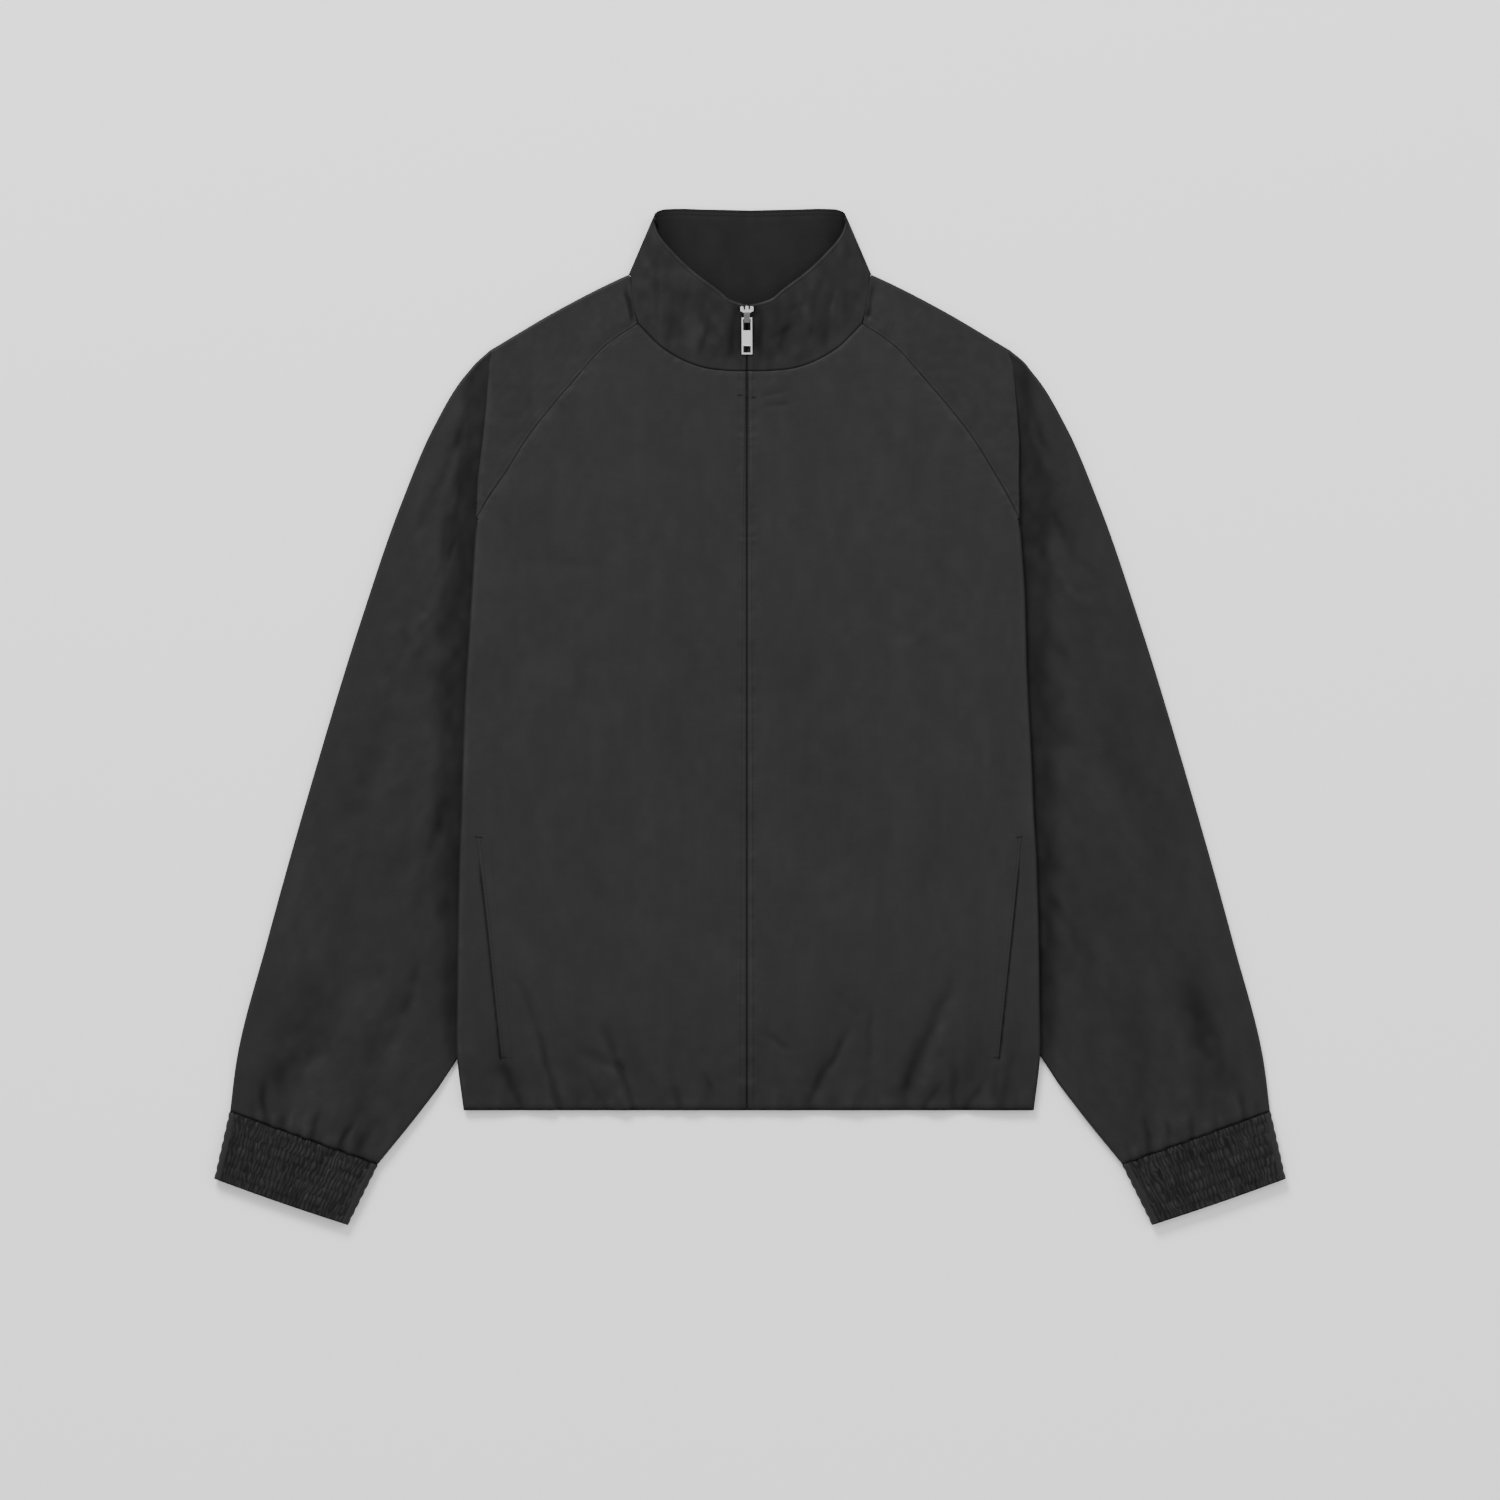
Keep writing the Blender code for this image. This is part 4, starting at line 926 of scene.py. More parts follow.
# The sleeves, each a flat tube from neck and armhole to its cuff.
# The seam and gather shades are painted shade at the cuff's seam and in the gathers. The whole
# sleeve is a little darker, partly its tone and partly painted shade, more on the viewer's right.
sleeveForm = {"headRows": 90, "headColumns": 84, "hiddenRows": 42, "inseamRows": 156,
              "backColumns": 10, "stepSteps": 14, "endRoll": 0.45, "puffHeight": 0.9,
              "gather": 0.9, "endLeast": 4.9, "grain": 2.2, "seamDark": 0.35,
              "gatherShade": 0.20, "mottle": 1.5, "allDark": {-1: 0.03, 1: 0.07}}
# painted shade beside the body: height, how dark, how far it stays so, and over how far it fades
besideBodyShade = ((-300, 0.30, 0, 14), (-220, 0.54, 4, 18), (-130, 0.54, 6, 20), (-30, 0.48, 8, 24),
              (65, 0.46, 11, 24), (145, 0.46, 16, 14), (250, 0.46, 9, 14))


# Distance back from the cuff's seam.
def fromCuffSeam(x, y):
    (x0, y0), (x1, y1) = lines["cuffTop"]
    length = math.hypot(x1 - x0, y1 - y0)
    return ((y - y0) * (x1 - x0) - (x - x0) * (y1 - y0)) / length


# A measure across the sleeve that stays the same all down it.
def acrossSleeve(x, y):
    return x + 0.236 * y


def cuffGather(x, y, side):
    across = acrossSleeve(x, y) * side
    return crinkle(across, y * 0.3, 4.4, 8, 52) * bell(fromCuffSeam(x, y), 12)


# Painted shade beside the body, at the cuff's seam, in the gathers and the folds' troughs, with
# soft random patches along the sleeve.
def sleeveShade(x, y, side):
    g = sleeveForm
    ya, dark, stays, fades = np.transpose(besideBodyShade)
    clear = np.maximum(x - creaseX(y), 0.0)
    across = acrossSleeve(x, y) * side
    ragged = 1 + 0.35 * crinkle(across, y, 11, 17, 81)
    reach = (clear * ragged - np.interp(y, ya, stays)) / np.interp(y, ya, fades)
    onSide = 1 - smoothStep((-y - 268) / 26)
    shade = np.interp(y, ya, dark) * (1 - smoothStep(reach)) * onSide
    shade = shade * (1 + 0.28 * crinkle(x * side, y, 6, 10, 82))
    shade += g["seamDark"] * bell(fromCuffSeam(x, y), 0.8) + g["allDark"][side]
    shade += g["gatherShade"] * cuffGather(x, y, side) + g["mottle"] * mottleShade(across, y)
    return (shade + 1.2 * troughShade(x * side, y, fineFolds)
            + 0.7 * troughShade(x * side, y, broadFolds))


# Under the body low, full outside it; each layer is mixed down to its folded edge.
def sleeveFrontHeight(x, y, side):
    g = sleeveForm
    clear = x - creaseX(y)
    full = mix(cut["sleeveTop"], cut["cuffEndTop"], smoothStep((-y - 250) / 90))
    height = mix(cut["sleeveUnder"], full, smoothStep((clear - 2) / 30))
    free = smoothStep((clear - 8) / 25)
    height += ridges(x * side, y, broadFolds) * free
    grain = clothGrain(acrossSleeve(x, y) * side, y) * g["grain"]
    height += (ridges(x * side, y, fineFolds) + grain) * smoothStep((clear - 1) / 9)
    height -= g["gather"] * cuffGather(x, y, side)
    seam = fromCuffSeam(x, y)
    puff = bell(seam - 5.5, 4.0) * (0.5 + crinkle(x * side, y, 8.5, 30, 51))
    height += g["puffHeight"] * puff
    height -= g["endRoll"] * (1 - smoothStep(seam / 2.6)) ** 2
    return mix(height, np.maximum(height, g["endLeast"]), smoothStep((9 - seam) / 6))


def sleeveParts(side):
    g = sleeveForm
    columns = g["headColumns"]
    across = np.linspace(0, 1, columns + 1)
    rowShares = closerAtEnds(g["headRows"], 0.5)
    seam = lineAlong(lines["raglan"], rowShares)
    seam = seam + normalsOf(seam, 1.0) * cut["seamGap"] / 2
    shoulder = lineAlong(lines["shoulder"], rowShares)
    shoulderOut = normalsOf(shoulder)
    outerShare = steps((0, 0.185, 0.36, 1), (columns, g["hiddenRows"], g["inseamRows"]))
    outer = lineAlong(lines["sleeveOuter"], outerShare)
    outerOut = normalsOf(outer)
    turn = (shoulderOut[-1] + outerOut[0]) / 2
    turn /= np.linalg.norm(turn)
    shoulderOut[-1] = outerOut[0] = turn
    blend = rowShares[:, None] * 8
    shoulderOut = mix(np.array([cut["neckTurn"]]), shoulderOut, smoothStep(blend))
    shoulder = shoulder - shoulderOut * foldInset
    outer = outer - outerOut * foldInset
    crease = evenly("creaseHead", columns)
    crease = crease + (shoulder[-1] - crease[0]) * across[::-1, None]
    crease[:, 0] -= foldInset * smoothStep(across * 2)
    crease[-1, 1] += cut["gap"] * 1.5
    seam[-1] = crease[-1]

    headPlan = ruled(seam, shoulder, across)
    headPlan[-1] = crease[::-1]
    headPlan[0] = evenly("neckSide", columns)
    headPlan[0, -1] = shoulder[0]
    headPlan[0, 1:] += cut["collarGap"]
    headPlan[0, 0] = seam[0]
    headX, headY = headPlan[..., 0], headPlan[..., 1]
    headZ = mix(bodyHeight(headX * side, headY), cut["edgeTop"],
                smoothStep(across[None, :]) ** 1.5)

    hidden = evenly("sleeveHidden", g["hiddenRows"])
    hidden[0] = crease[-1]
    inseam = evenly("inseam", g["inseamRows"])
    innerOut = normalsOf(inseam, -1.0)
    innerOut[0] = (-1.0, 0.0)
    inset = mix(1.4, foldInset, smoothStep((-inseam[:, 1] - 230) / 60))
    inseam = inseam - innerOut * inset[:, None]
    hidden[-1] = inseam[0]
    inner = np.concatenate([crease, hidden[1:], inseam[1:]])
    spread = across[None, :, None] ** 1.3
    frontPlan = inner[:, None] * (1 - spread) + outer[:, None] * spread
    v = across[None, :] ** 1.3
    frontZ = sleeveFrontHeight(frontPlan[..., 0], frontPlan[..., 1], side)
    frontZ = mix(frontZ, cut["edgeTop"], smoothStep((v - 0.62) / 0.38) ** 1.5)
    frontZ = mix(cut["edgeTop"], frontZ, smoothStep(outerShare[:, None] / 0.13))

    backSeam = evenly("raglanBack", g["headRows"] + columns + g["hiddenRows"])
    backSeam[-1] = inseam[0]
    backInner = np.concatenate([backSeam, inseam[1:]])
    backOuter = np.concatenate([shoulder, outer[1:]])
    backAcross = np.linspace(0, 1, g["backColumns"] + 1)
    backPlan = ruled(backOuter, backInner, backAcross)
    backFirst = evenly("neckBackSide", g["backColumns"])
    backFirst += (shoulder[0] - backFirst[0]) * backAcross[::-1, None]
    backPlan[0] = backFirst + np.array(cut["collarGap"])
    headPlan[0, -1] = backPlan[0, 0]
    relief, seamShade = seamRelief(headX, headY, "raglan")
    small = crinkle(headX * side, headY, 4.2, 5.5, 83) * smoothStep((across[None, :]) * 4)
    head = withZ(headPlan, headZ + relief + 0.2 * small * (1 - across[None, :]))
    front = withZ(frontPlan, frontZ)
    low = withZ(backPlan, floorMiddle)

    topEdge = np.concatenate([head[:, -1], front[1:, -1]])
    edgeOut = np.concatenate([shoulderOut, outerOut[1:]])
    outerFold = foldOver(topEdge, low[:, 0], edgeOut, foldReach)
    firstRow = columns + g["hiddenRows"]
    topInner = front[firstRow:, 0]
    belly = np.minimum(foldReach, (topInner[:, 2] - floorMiddle) / 2)
    innerFold = foldOver(topInner, withZ(inseam, floorMiddle), innerOut, belly)

    high = head[-1, ::-1]
    under = front[:columns + 1, 0]
    s = np.linspace(0, 1, g["stepSteps"] + 1)[None, :, None]
    swing = smoothStep(across * 2.5)[:, None, None] * 1.5
    step = high[:, None] * (1 - s) + under[:, None] * s
    step = step + np.array([1.0, 0.0, 0.0]) * np.sin(2 * math.pi * s) * swing
    # Painted light and shade on the head: shade in the folds' troughs and at the raglan seam, light
    # and shade over the small crinkles, random patches, a painted highlight along the crease, and
    # the
    # viewer's left head a little paler, on the side of the light.
    headShade = 1.4 * troughShade(headX * side, headY, fineFolds)
    headShade += seamShade + mottleShade(headX * side, headY) + 0.07 * small
    headShade = headShade - lipPale(headX, headY, side) - (0.03 if side < 0 else 0.0)
    frontShades = sleeveShade(frontPlan[..., 0], frontPlan[..., 1], side)
    # Painted shade: the inner fold takes the shade of the sleeve beside it, and the step down under
    # the head darkens as it goes under.
    firstColumn = frontShades[firstRow:, :1]
    stepShade = mix(headShade[-1, ::-1, None], 0.85, smoothStep(s[..., 0] * 1.4))
    return ((head, headShade), (front, frontShades), (low, 0.0), (outerFold, 0.0),
            (innerFold, firstColumn), (step, stepShade))


def makeSleeve(name, node, side, material):
    parts = [(mirrored(grid, side), shade) for grid, shade in sleeveParts(side)]
    obj = sheetObject(name, parts, material, lowToo=False)
    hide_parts(node)
    return obj


sleeveLeft = makeSleeve("sleeveLeftCloth", "sleeve_left", 1, sleeveClothLeft)
sleeveRight = makeSleeve("sleeveRightCloth", "sleeve_right", -1, sleeveClothRight)
print("sleeves ready")

# The stand collar, open at the centre front.
collarForm = {
    "frontColumns": 100, "sideColumns": 30, "rows": 48, "backSide": 10, "back": 44,
    "sideShare": 0.7, "backShare": 0.3, "crowding": 0.6,
    "rimHeight": 0.3, "rimRoll": 1.0, "rimHighlight": 0.09, "rimPucker": 0.2,
    "tipDrop": 2.4, "wall": 0.7, "grain": 1.3, "wrinkle": 0.65, "zipRoll": 0.6, "seamRoll": 0.45,
    # painted shades darken and painted highlights lighten; the mottle is random patches
    "allDark": {-1: 0.05, 1: 0.10}, "wrinkleShading": 0.24, "mottle": 2.0, "zipEdgeDark": 0.7,
    "zipDark": 0.32, "seamDark": 0.5, "pitDark": 0.8, "insideDark": 0.47, "cornerDark": 0.3,
    "edgeRows": (1.9, 5.2), "rowGroove": 0.16,    # sewn rows below the back's top edge
}


def collarHalf(side):
    g = collarForm
    start = np.array(lines["shoulder"][0]) - np.array(cut["neckTurn"]) * foldInset
    across = closerAtEnds(g["frontColumns"], g["crowding"])
    frontLow = neckFrontLine(side, across)
    frontLow[:, 1] += cut["gap"] / 2
    sideLow = evenly("neckSide", g["sideColumns"])
    sideLow[-1] = start
    v = np.linspace(0, 1, g["sideColumns"] + 1)
    sideZ = mix(bodyHeight(sideLow[:, 0] * side, sideLow[:, 1]), cut["edgeTop"],
                smoothStep(v) ** 1.5)
    low = np.concatenate([frontLow, sideLow[1:]])
    lowZ = np.r_[bodyHeight(frontLow[:, 0] * side, frontLow[:, 1]), sideZ[1:]]
    share = np.r_[across[:-1] * g["sideShare"], steps((g["sideShare"], 1), (g["sideColumns"],))]
    high = lineAlong(lines["collarFront"], share)
    high[:, 0] = mix(frontLow[0, 0], high[:, 0], smoothStep(share * 5))
    high[-1, 0] -= cut["collarTurn"][0] * foldInset
    highZ = mix(cut["bodyTop"] + cut["collarRise"], cut["collarSideZ"], share**2)
    highZ = highZ - g["tipDrop"] * smoothStep((share - 0.8) / 0.2)
    rows = closerAtEnds(g["rows"], g["crowding"])[:, None]
    plan = mix(low[None], high[None], rows[..., None])
    tall = np.linalg.norm(high - low, axis=1)[None]
    x, y = plan[..., 0] * side, plan[..., 1]
    z = lowZ + (highZ - lowZ) * smoothStep(rows * 0.5) * 2
    z += ridges(x, y, collarFolds) * smoothStep(rows * 4)
    wrinkle = 0.6 * crinkle(x, y, 5.5, 9, 62) + 0.4 * crinkle(x, y, 9, 16, 63)
    grain = clothGrain(x, y + 700) * g["grain"]
    z += (grain + g["wrinkle"] * wrinkle) * smoothStep(rows * 6)
    fromZip = fromZipEdge(x)
    fromEdge = (1 - rows) * tall
    fromSeam = rows * tall
    z -= g["zipRoll"] * (1 - smoothStep(fromZip / 1.3)) ** 2
    puckers = crinkle(x, y, 2.7, 9, 61)
    z += (g["rimHeight"] + g["rimPucker"] * puckers) * bell(fromEdge - 1.5, 0.9)
    z -= g["rimRoll"] * (1 - smoothStep(fromEdge / 1.1)) ** 2
    z -= 0.10 * bell(fromEdge - 3.3, 0.7)
    z -= g["seamRoll"] * (1 - smoothStep(fromSeam / 1.5)) ** 2
    front = withZ(plan, z)
    # Painted light and shade on the collar's front: shade in the folds' troughs, at the zip's edge
    # and
    # beside it and at the seam; light and shade over the wrinkles; random patches; the collar a
    # little
    # darker, partly its tone and partly painted shade, more on the viewer's right.
    shade = 0.9 * troughShade(x, y, collarFolds) * smoothStep(rows * 4)
    shade -= g["wrinkleShading"] * wrinkle
    shade += g["mottle"] * mottleShade(x, y) + g["allDark"][side]
    shade += g["zipEdgeDark"] * bell(fromZip, 0.9)
    besideZip = bell(fromZip - 7.0, 6.0) * smoothStep((y - 282) / 18)
    shade += g["zipDark"] * besideZip * smoothStep(fromEdge / 6)
    shade += g["seamDark"] * bell(fromSeam, 0.9)
    # A painted highlight along the rim, broader and stronger towards the zip, uneven with the
    # puckers.
    towardsZip = bell(fromZip, 24)
    rim = g["rimHighlight"] * mix(0.5, 2.2, towardsZip) * (1 + 1.2 * puckers)
    shade -= rim * bell(fromEdge - 1.4, mix(1.0, 2.0, towardsZip))
    # painted shadow in the pit between the rim and the slider
    shade += g["pitDark"] * bell(fromZip - 6.0, 1.0) * bell(y - 325.6, 1.4)

    backSide = evenly("neckBackSide", g["backSide"])
    backSide += (start - backSide[0]) * np.linspace(1, 0, g["backSide"] + 1)[:, None]
    backLow = np.concatenate([backSide, evenly("neckBack", g["back"])[1:]])
    backHigh = lineAlong(lines["collarBack"],
                         steps((0, g["backShare"], 1), (g["backSide"], g["back"])))
    backHigh[0] = high[-1]
    backPlan = mix(backLow[None], backHigh[None], rows[..., None])
    backEdge = (1 - rows) * np.linalg.norm(backHigh - backLow, axis=1)[None]
    backX, backY = backPlan[..., 0] * side, backPlan[..., 1]
    inner = smoothStep(rows * 2) * smoothStep((1 - rows) * 8)
    backZ = cut["shellWall"] / 2 + 0.17 + (0.8 + 0.7 * clothGrain(backX, backY)) * inner
    for row in g["edgeRows"]:
        backZ -= g["rowGroove"] * bell(backEdge - row, 0.55)
    back = withZ(backPlan, backZ)
    # Painted shade inside the collar, deeper towards its corners, at the corner fold and in the
    # sewn
    # rows' grooves, with random patches.
    backShade = g["insideDark"] + g["cornerDark"] * smoothStep((np.abs(backX) - 48) / 26)
    backShade += 0.3 * bell(np.abs(backX) - 77, 3.0)
    backShade += 0.9 * mottleShade(backX, backY)
    backShade += 0.12 * sum(bell(backEdge - row, 0.6) for row in g["edgeRows"])
    out = mix(np.array([cut["neckTurn"]]), np.array([cut["collarTurn"]]), smoothStep(rows * 2))
    fold = foldOver(front[:, -1], back[:, 0], out, foldReach, 10)
    # Painted shade: the fold passes from the front's shade to the inside's, darkened towards the
    # collar's tips, and the front darkens by the tips too.
    turned = smoothStep(np.linspace(0, 1, fold.shape[1])[None, :] * 1.5)
    atTip = smoothStep((rows - 0.86) / 0.12)
    foldShade = mix(shade[:, -1:], backShade[:, :1], turned) + 0.7 * atTip
    shade += 0.5 * atTip * smoothStep((share - 0.93) / 0.07)
    return (front, shade), (fold, foldShade), (back, backShade)


collarParts = {side: collarHalf(side) for side in (1, -1)}
collar = sheetObject("collarCloth", [(mirrored(grid, side), shade) for side in (1, -1)
                                     for grid, shade in collarParts[side]],
                     collarCloth, collarForm["wall"])
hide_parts("collar")
print("collar ready")

# The shirred cuffs.
cuffForm = {"top": 350, "turn": 14, "under": 60, "along": 40, "wall": 1.2, "tongue": 3.0,
            "ribs": 34, "ribDepth": 1.0, "breaks": 9.0, "pinch": 0.14, "scallop": 0.6,
            "elastics": (0.09, 0.25, 0.41, 0.57, 0.73, 0.88), "heights": (7.0, 8.1, 7.5),
            "valleyDark": 0.78, "crestHighlight": 0.30, "patches": 0.14, "seamDark": 0.3}


# One face's ribs: a wandering phase that shifts a little from one elastic to the next,
# crests broader than valleys and uneven in height, pinched at each elastic.
def ribPattern(across, along, seed):
    g = cuffForm
    u = across * 100
    waver = 0.06 * crinkle(u, along * 50, 4.5, 60, seed + 3)
    rows = sum(smoothStep((along + waver - e) / 0.07 + 0.5) for e in g["elastics"])
    v = along * 50 + rows * g["breaks"]
    drift = crinkle(u, v, 9, 30, seed) * 0.6 + crinkle(u, v, 3.2, 8.5, seed + 1) * 0.5
    wave = 0.5 + 0.5 * np.cos(2 * math.pi * (across * g["ribs"] + drift))
    uneven = 0.58 + 0.42 * crinkle(u, v, 2.6, 7.0, seed + 2)
    pinch = sum(bell(along - e, 0.024) for e in g["elastics"])
    return (wave**0.8) * uneven * (1 - 0.3 * pinch), pinch


def makeCuff(name, node, side, seed):
    g = cuffForm
    (nearTop, farTop), (nearEdge, farEdge) = lines["cuffTop"], lines["cuffEdge"]
    way = np.array(cut["cuffWay"])
    rowLength = math.hypot(nearEdge[0] - nearTop[0], nearEdge[1] - nearTop[1])
    t = np.r_[-g["tongue"] / rowLength, -0.8 / rowLength, -0.01,
              np.linspace(0, 1, g["along"] + 1)][:, None]
    tongue = smoothStep(-t * rowLength / 0.8)       # 1 on the strip inside the sleeve's end
    near = mix(np.array(nearTop) + way * cut["gap"], np.array(nearEdge), t)
    far = mix(np.array(farTop) + way * cut["gap"], np.array(farEdge), t)
    length = np.linalg.norm(far - near, axis=1, keepdims=True)
    height = np.interp(t, (0, 0.5, 1), g["heights"])
    radius = height / 2
    # once round from the near end: top face to 0.6, far end, flat underside, near end
    around = steps((0, 0.6, 0.64, 0.96, 1), (g["top"], g["turn"], g["under"], g["turn"]))[None, :]
    topShare = np.clip(around / 0.6, 0, 1) + 0 * t
    lowShare = np.clip((around - 0.64) / 0.32, 0, 1)
    farTurn = np.clip((around - 0.6) / 0.04, 0, 1) * math.pi
    nearTurn = np.clip((around - 0.96) / 0.04, 0, 1) * math.pi
    reach = radius + (length - 2 * radius) * (topShare - lowShare)
    bend = np.sin(farTurn) - np.sin(nearTurn)
    z = radius + radius * np.where(around < 0.8, np.cos(farTurn), -np.cos(nearTurn))
    ribs, pinch = ribPattern(topShare, t + 0 * around, seed)
    onTop = np.where(around < 0.6, 1.0, 0.0) * smoothStep(topShare * 60) * smoothStep(
        (1 - topShare) * 60)
    z += onTop * (1 - tongue) * (g["ribDepth"] * (ribs - 0.85) - g["pinch"] * pinch)
    scallop = -g["scallop"] * sum(bell(t - e, 0.035) for e in g["elastics"])
    reach = reach + bend * (radius + scallop)
    z += (g["wall"] / 2) * np.where(z < radius, 1.0, -1.0) * np.abs(z - radius) / radius
    reach = mix(reach, length / 2 + (reach - length / 2) * 0.9, tongue)
    z = mix(z, 2.5 + (z - radius) * 0.22, tongue)
    plan = near[:, None] + (far - near)[:, None] * (reach / length)[..., None]
    bow = np.sin(math.pi * np.clip(reach / length, 0, 1)) * cut["cuffBow"] * np.clip(t, 0, 1)
    plan = plan + way * bow[..., None]
    grid = withZ(plan, z)
    grid[:, -1] = grid[:, 0]
    patches = g["patches"] * crinkle(topShare * 100, t * 50 + 0 * around, 8, 11, seed + 5)
    # Painted shade in the ribs' valleys, a little at the elastics, at the seam and on the strip
    # inside
    # the sleeve's end; painted highlight on the ribs' crests; the patches are random.
    shade = onTop * (g["valleyDark"] * (1 - ribs) ** 1.5 + 0.05 * pinch + patches
                     - g["crestHighlight"] * ribs**3) + 0.3 * tongue
    shade += g["seamDark"] * bell(t * rowLength, 0.8)
    obj = sheetObject(name, [(mirrored(grid, side), shade)], cuffCloth, g["wall"])
    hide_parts(node)
    return obj


cuffLeft = makeCuff("cuffLeftCloth", "cuff_left", 1, 21)
cuffRight = makeCuff("cuffRightCloth", "cuff_right", -1, 61)
print("cuffs ready")

# The pocket welts: each a strip from the slit inwards, let into the front.
weltForm = {"width": 9.0, "rows": 100, "columns": 12, "wall": 0.34, "lip": 0.16,
            "thinning": 4.0, "endThinning": 9.0}


# How full the welt's wall is, 1 by the slit and 0 at its inner edge and its ends.
def weltFullness(share, along):
    g = weltForm
    length = math.dist(*lines["pocket"])
    fromEnd = np.minimum(along, 1 - along) * length
    return smoothStep((1 - share) * g["width"] / g["thinning"]) * smoothStep(
        fromEnd / g["endThinning"])


# The middle of the welt's wall, so that its top is flush with the front's.
def weltHeight(x, y, share, along, side):
    g = weltForm
    lip = g["lip"] * bell(share * g["width"] - 1.3, 0.9)
    roll = 0.35 * (1 - smoothStep(share * g["width"] / 1.0)) ** 2
    full = weltFullness(share, along)
    return bodyHeight(x * side, y) + floorMiddle - g["wall"] / 2 * full + (lip - roll) * full


def makeWelt(name, node, side):
    g = weltForm
    rowShares = closerAtEnds(g["rows"], 0.85)
    slit = lineAlong(lines["pocket"], rowShares)
    inner = slit - np.array([g["width"], -g["width"] * 0.1])
    plan = ruled(slit, inner, closerAtEnds(g["columns"], 0.5))
    share = closerAtEnds(g["columns"], 0.5)[None, :] + 0 * plan[..., 0]
    along = rowShares[:, None] + 0 * share
    x, y = plan[..., 0], plan[..., 1]
    grid = withZ(plan, weltHeight(x, y, share, along, side))
    # The front's painted shade carries on over the welt, with a faint painted highlight along its
    # lip.
    shade = frontShade(x, y, side) - 0.05 * bell(share * g["width"] - 1.5, 1.0)
    obj = sheetObject(name, [(mirrored(grid, side), shade)], bodyCloth, g["wall"])
    wall = obj.vertex_groups.new(name="wall")
    for index, full in enumerate(weltFullness(share, along).reshape(-1)):
        wall.add([index], float(full), "REPLACE")
    obj.modifiers["clothWall"].vertex_group = "wall"
    obj.modifiers["clothWall"].thickness_vertex_group = 0.06
    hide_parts(node)


makeWelt("pocketWeltLeftCloth", "pocket_welt_left", 1)
makeWelt("pocketWeltRightCloth", "pocket_welt_right", -1)
print("welts ready")

# The zip: tapes and teeth under the fronts' edges, slider and pull at the top.
zipForm = {"tapeDrop": 1.75, "tapeWall": 0.5, "tapeWidth": 12.0, "rows": 220,
           "toothPitch": 2.0, "toothSize": (2.1, 1.05, 0.6), "toothDrop": 1.22}


def zipHeight(y):
    inCollar = centreHeight(mix(276.0, y, 0.94))
    return np.where(y > 276, inCollar, bodyHeight(cut["centreX"] + 0 * y, y, False))


def makeTape(name, node, side):
    g = zipForm
    y = np.linspace(cut["hemY"], cut["pullY"] - 5, g["rows"] + 1)[:, None]
    x = np.linspace(zipEdgeX(side), zipEdgeX(side) + g["tapeWidth"], 7)[None, :] + 0 * y
    z = zipHeight(y) - g["tapeDrop"] + 0 * x
    grid = np.stack([x, y + 0 * x, z], axis=-1)
    obj = sheetObject(name, [mirrored(grid, side)], zipTapeWeave, g["tapeWall"])
    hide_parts(node)


# Each tooth: five rings of eight points along X, slim at the root and full at the head.
def makeTeeth(name, side):
    g = zipForm
    reach, width, tall = g["toothSize"]
    y = np.arange(cut["hemY"] + 4, cut["pullY"] - 6, g["toothPitch"])
    y = y + (0.5 * g["toothPitch"] if side < 0 else 0.0)
    along = np.array([0.0, 0.02, 0.6, 0.9, 1.0])
    full = np.array([0.0, 0.62, 0.78, 0.9, 0.0])
    angle = np.arange(8) * math.pi / 4 + math.pi / 8
    ring = np.stack([np.cos(angle) * width / 2, np.sin(angle) * tall / 2], axis=1)
    tooth = np.zeros((5, 8, 3))
    tooth[..., 0] = (1.3 - along * reach)[:, None]
    tooth[..., 1] = ring[None, :, 0] * full[:, None]
    tooth[..., 2] = ring[None, :, 1] * full[:, None]
    middle = np.stack([np.full(len(y), cut["centreX"] * side), y, zipHeight(y) - g["toothDrop"]],
                      axis=1)
    points = tooth[None] + middle[:, None, None]
    faces = barFaces(8, len(y))[:, [0, 3, 2, 1]]
    if side > 0:
        faces = faces[:, ::-1]
    return meshObject(name, mirrored(points.reshape(-1, 3), side), faces.tolist(), teethMetal)


makeTape("zipTapeLeftCloth", "zip_tape_left", 1)
makeTape("zipTapeRightCloth", "zip_tape_right", -1)
makeTeeth("zipTeethLeft", 1)
makeTeeth("zipTeethRight", -1)


def softenEdges(obj, width):
    bevel = obj.modifiers.new("softEdges", "BEVEL")
    bevel.width = width * toMetres
    bevel.segments = 2
    bevel.limit_method = "ANGLE"
    bevel.angle_limit = math.radians(32)
    bevel.harden_normals = False


# The slider keeps its solid's form, with softened edges.
def makeSlider():
    node = frame["nodes"]["zip_slider"]
    mesh = node.data.copy()
    mesh.transform(node.matrix_world)
    form = bmesh.new()
    form.from_mesh(mesh)
    bmesh.ops.remove_doubles(form, verts=form.verts, dist=0.00001)
    bmesh.ops.dissolve_limit(form, angle_limit=0.02, verts=form.verts, edges=form.edges)
    bmesh.ops.recalc_face_normals(form, faces=form.faces)
    form.to_mesh(mesh)
    form.free()
    mesh.materials.clear()
    mesh.materials.append(sliderMetal)
    slider = linked("zipSliderMetal", mesh)
    softenEdges(slider, 0.14)
    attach(slider, "jacket")
    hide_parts("zip_slider")


makeSlider()

# The pull in its own plane: a frame 0.22 above its satin face, with two windows through.
# Corners and the frame's inner edges are softened; its plane leans as the solid does.
pullForm = {
    "x": (-4.2, -3.0, -2.8, 2.8, 3.0, 4.2),
    "y": (-29.32, -28.0, -22.4, -22.1, -10.1, -9.8, -0.7, 0.68),
    "windowRows": (1, 5), "windowColumns": (1, 2, 3), "faceRows": (3, 4), "faceColumns": (2, 3),
    "thick": 1.3, "sink": 0.22,
}


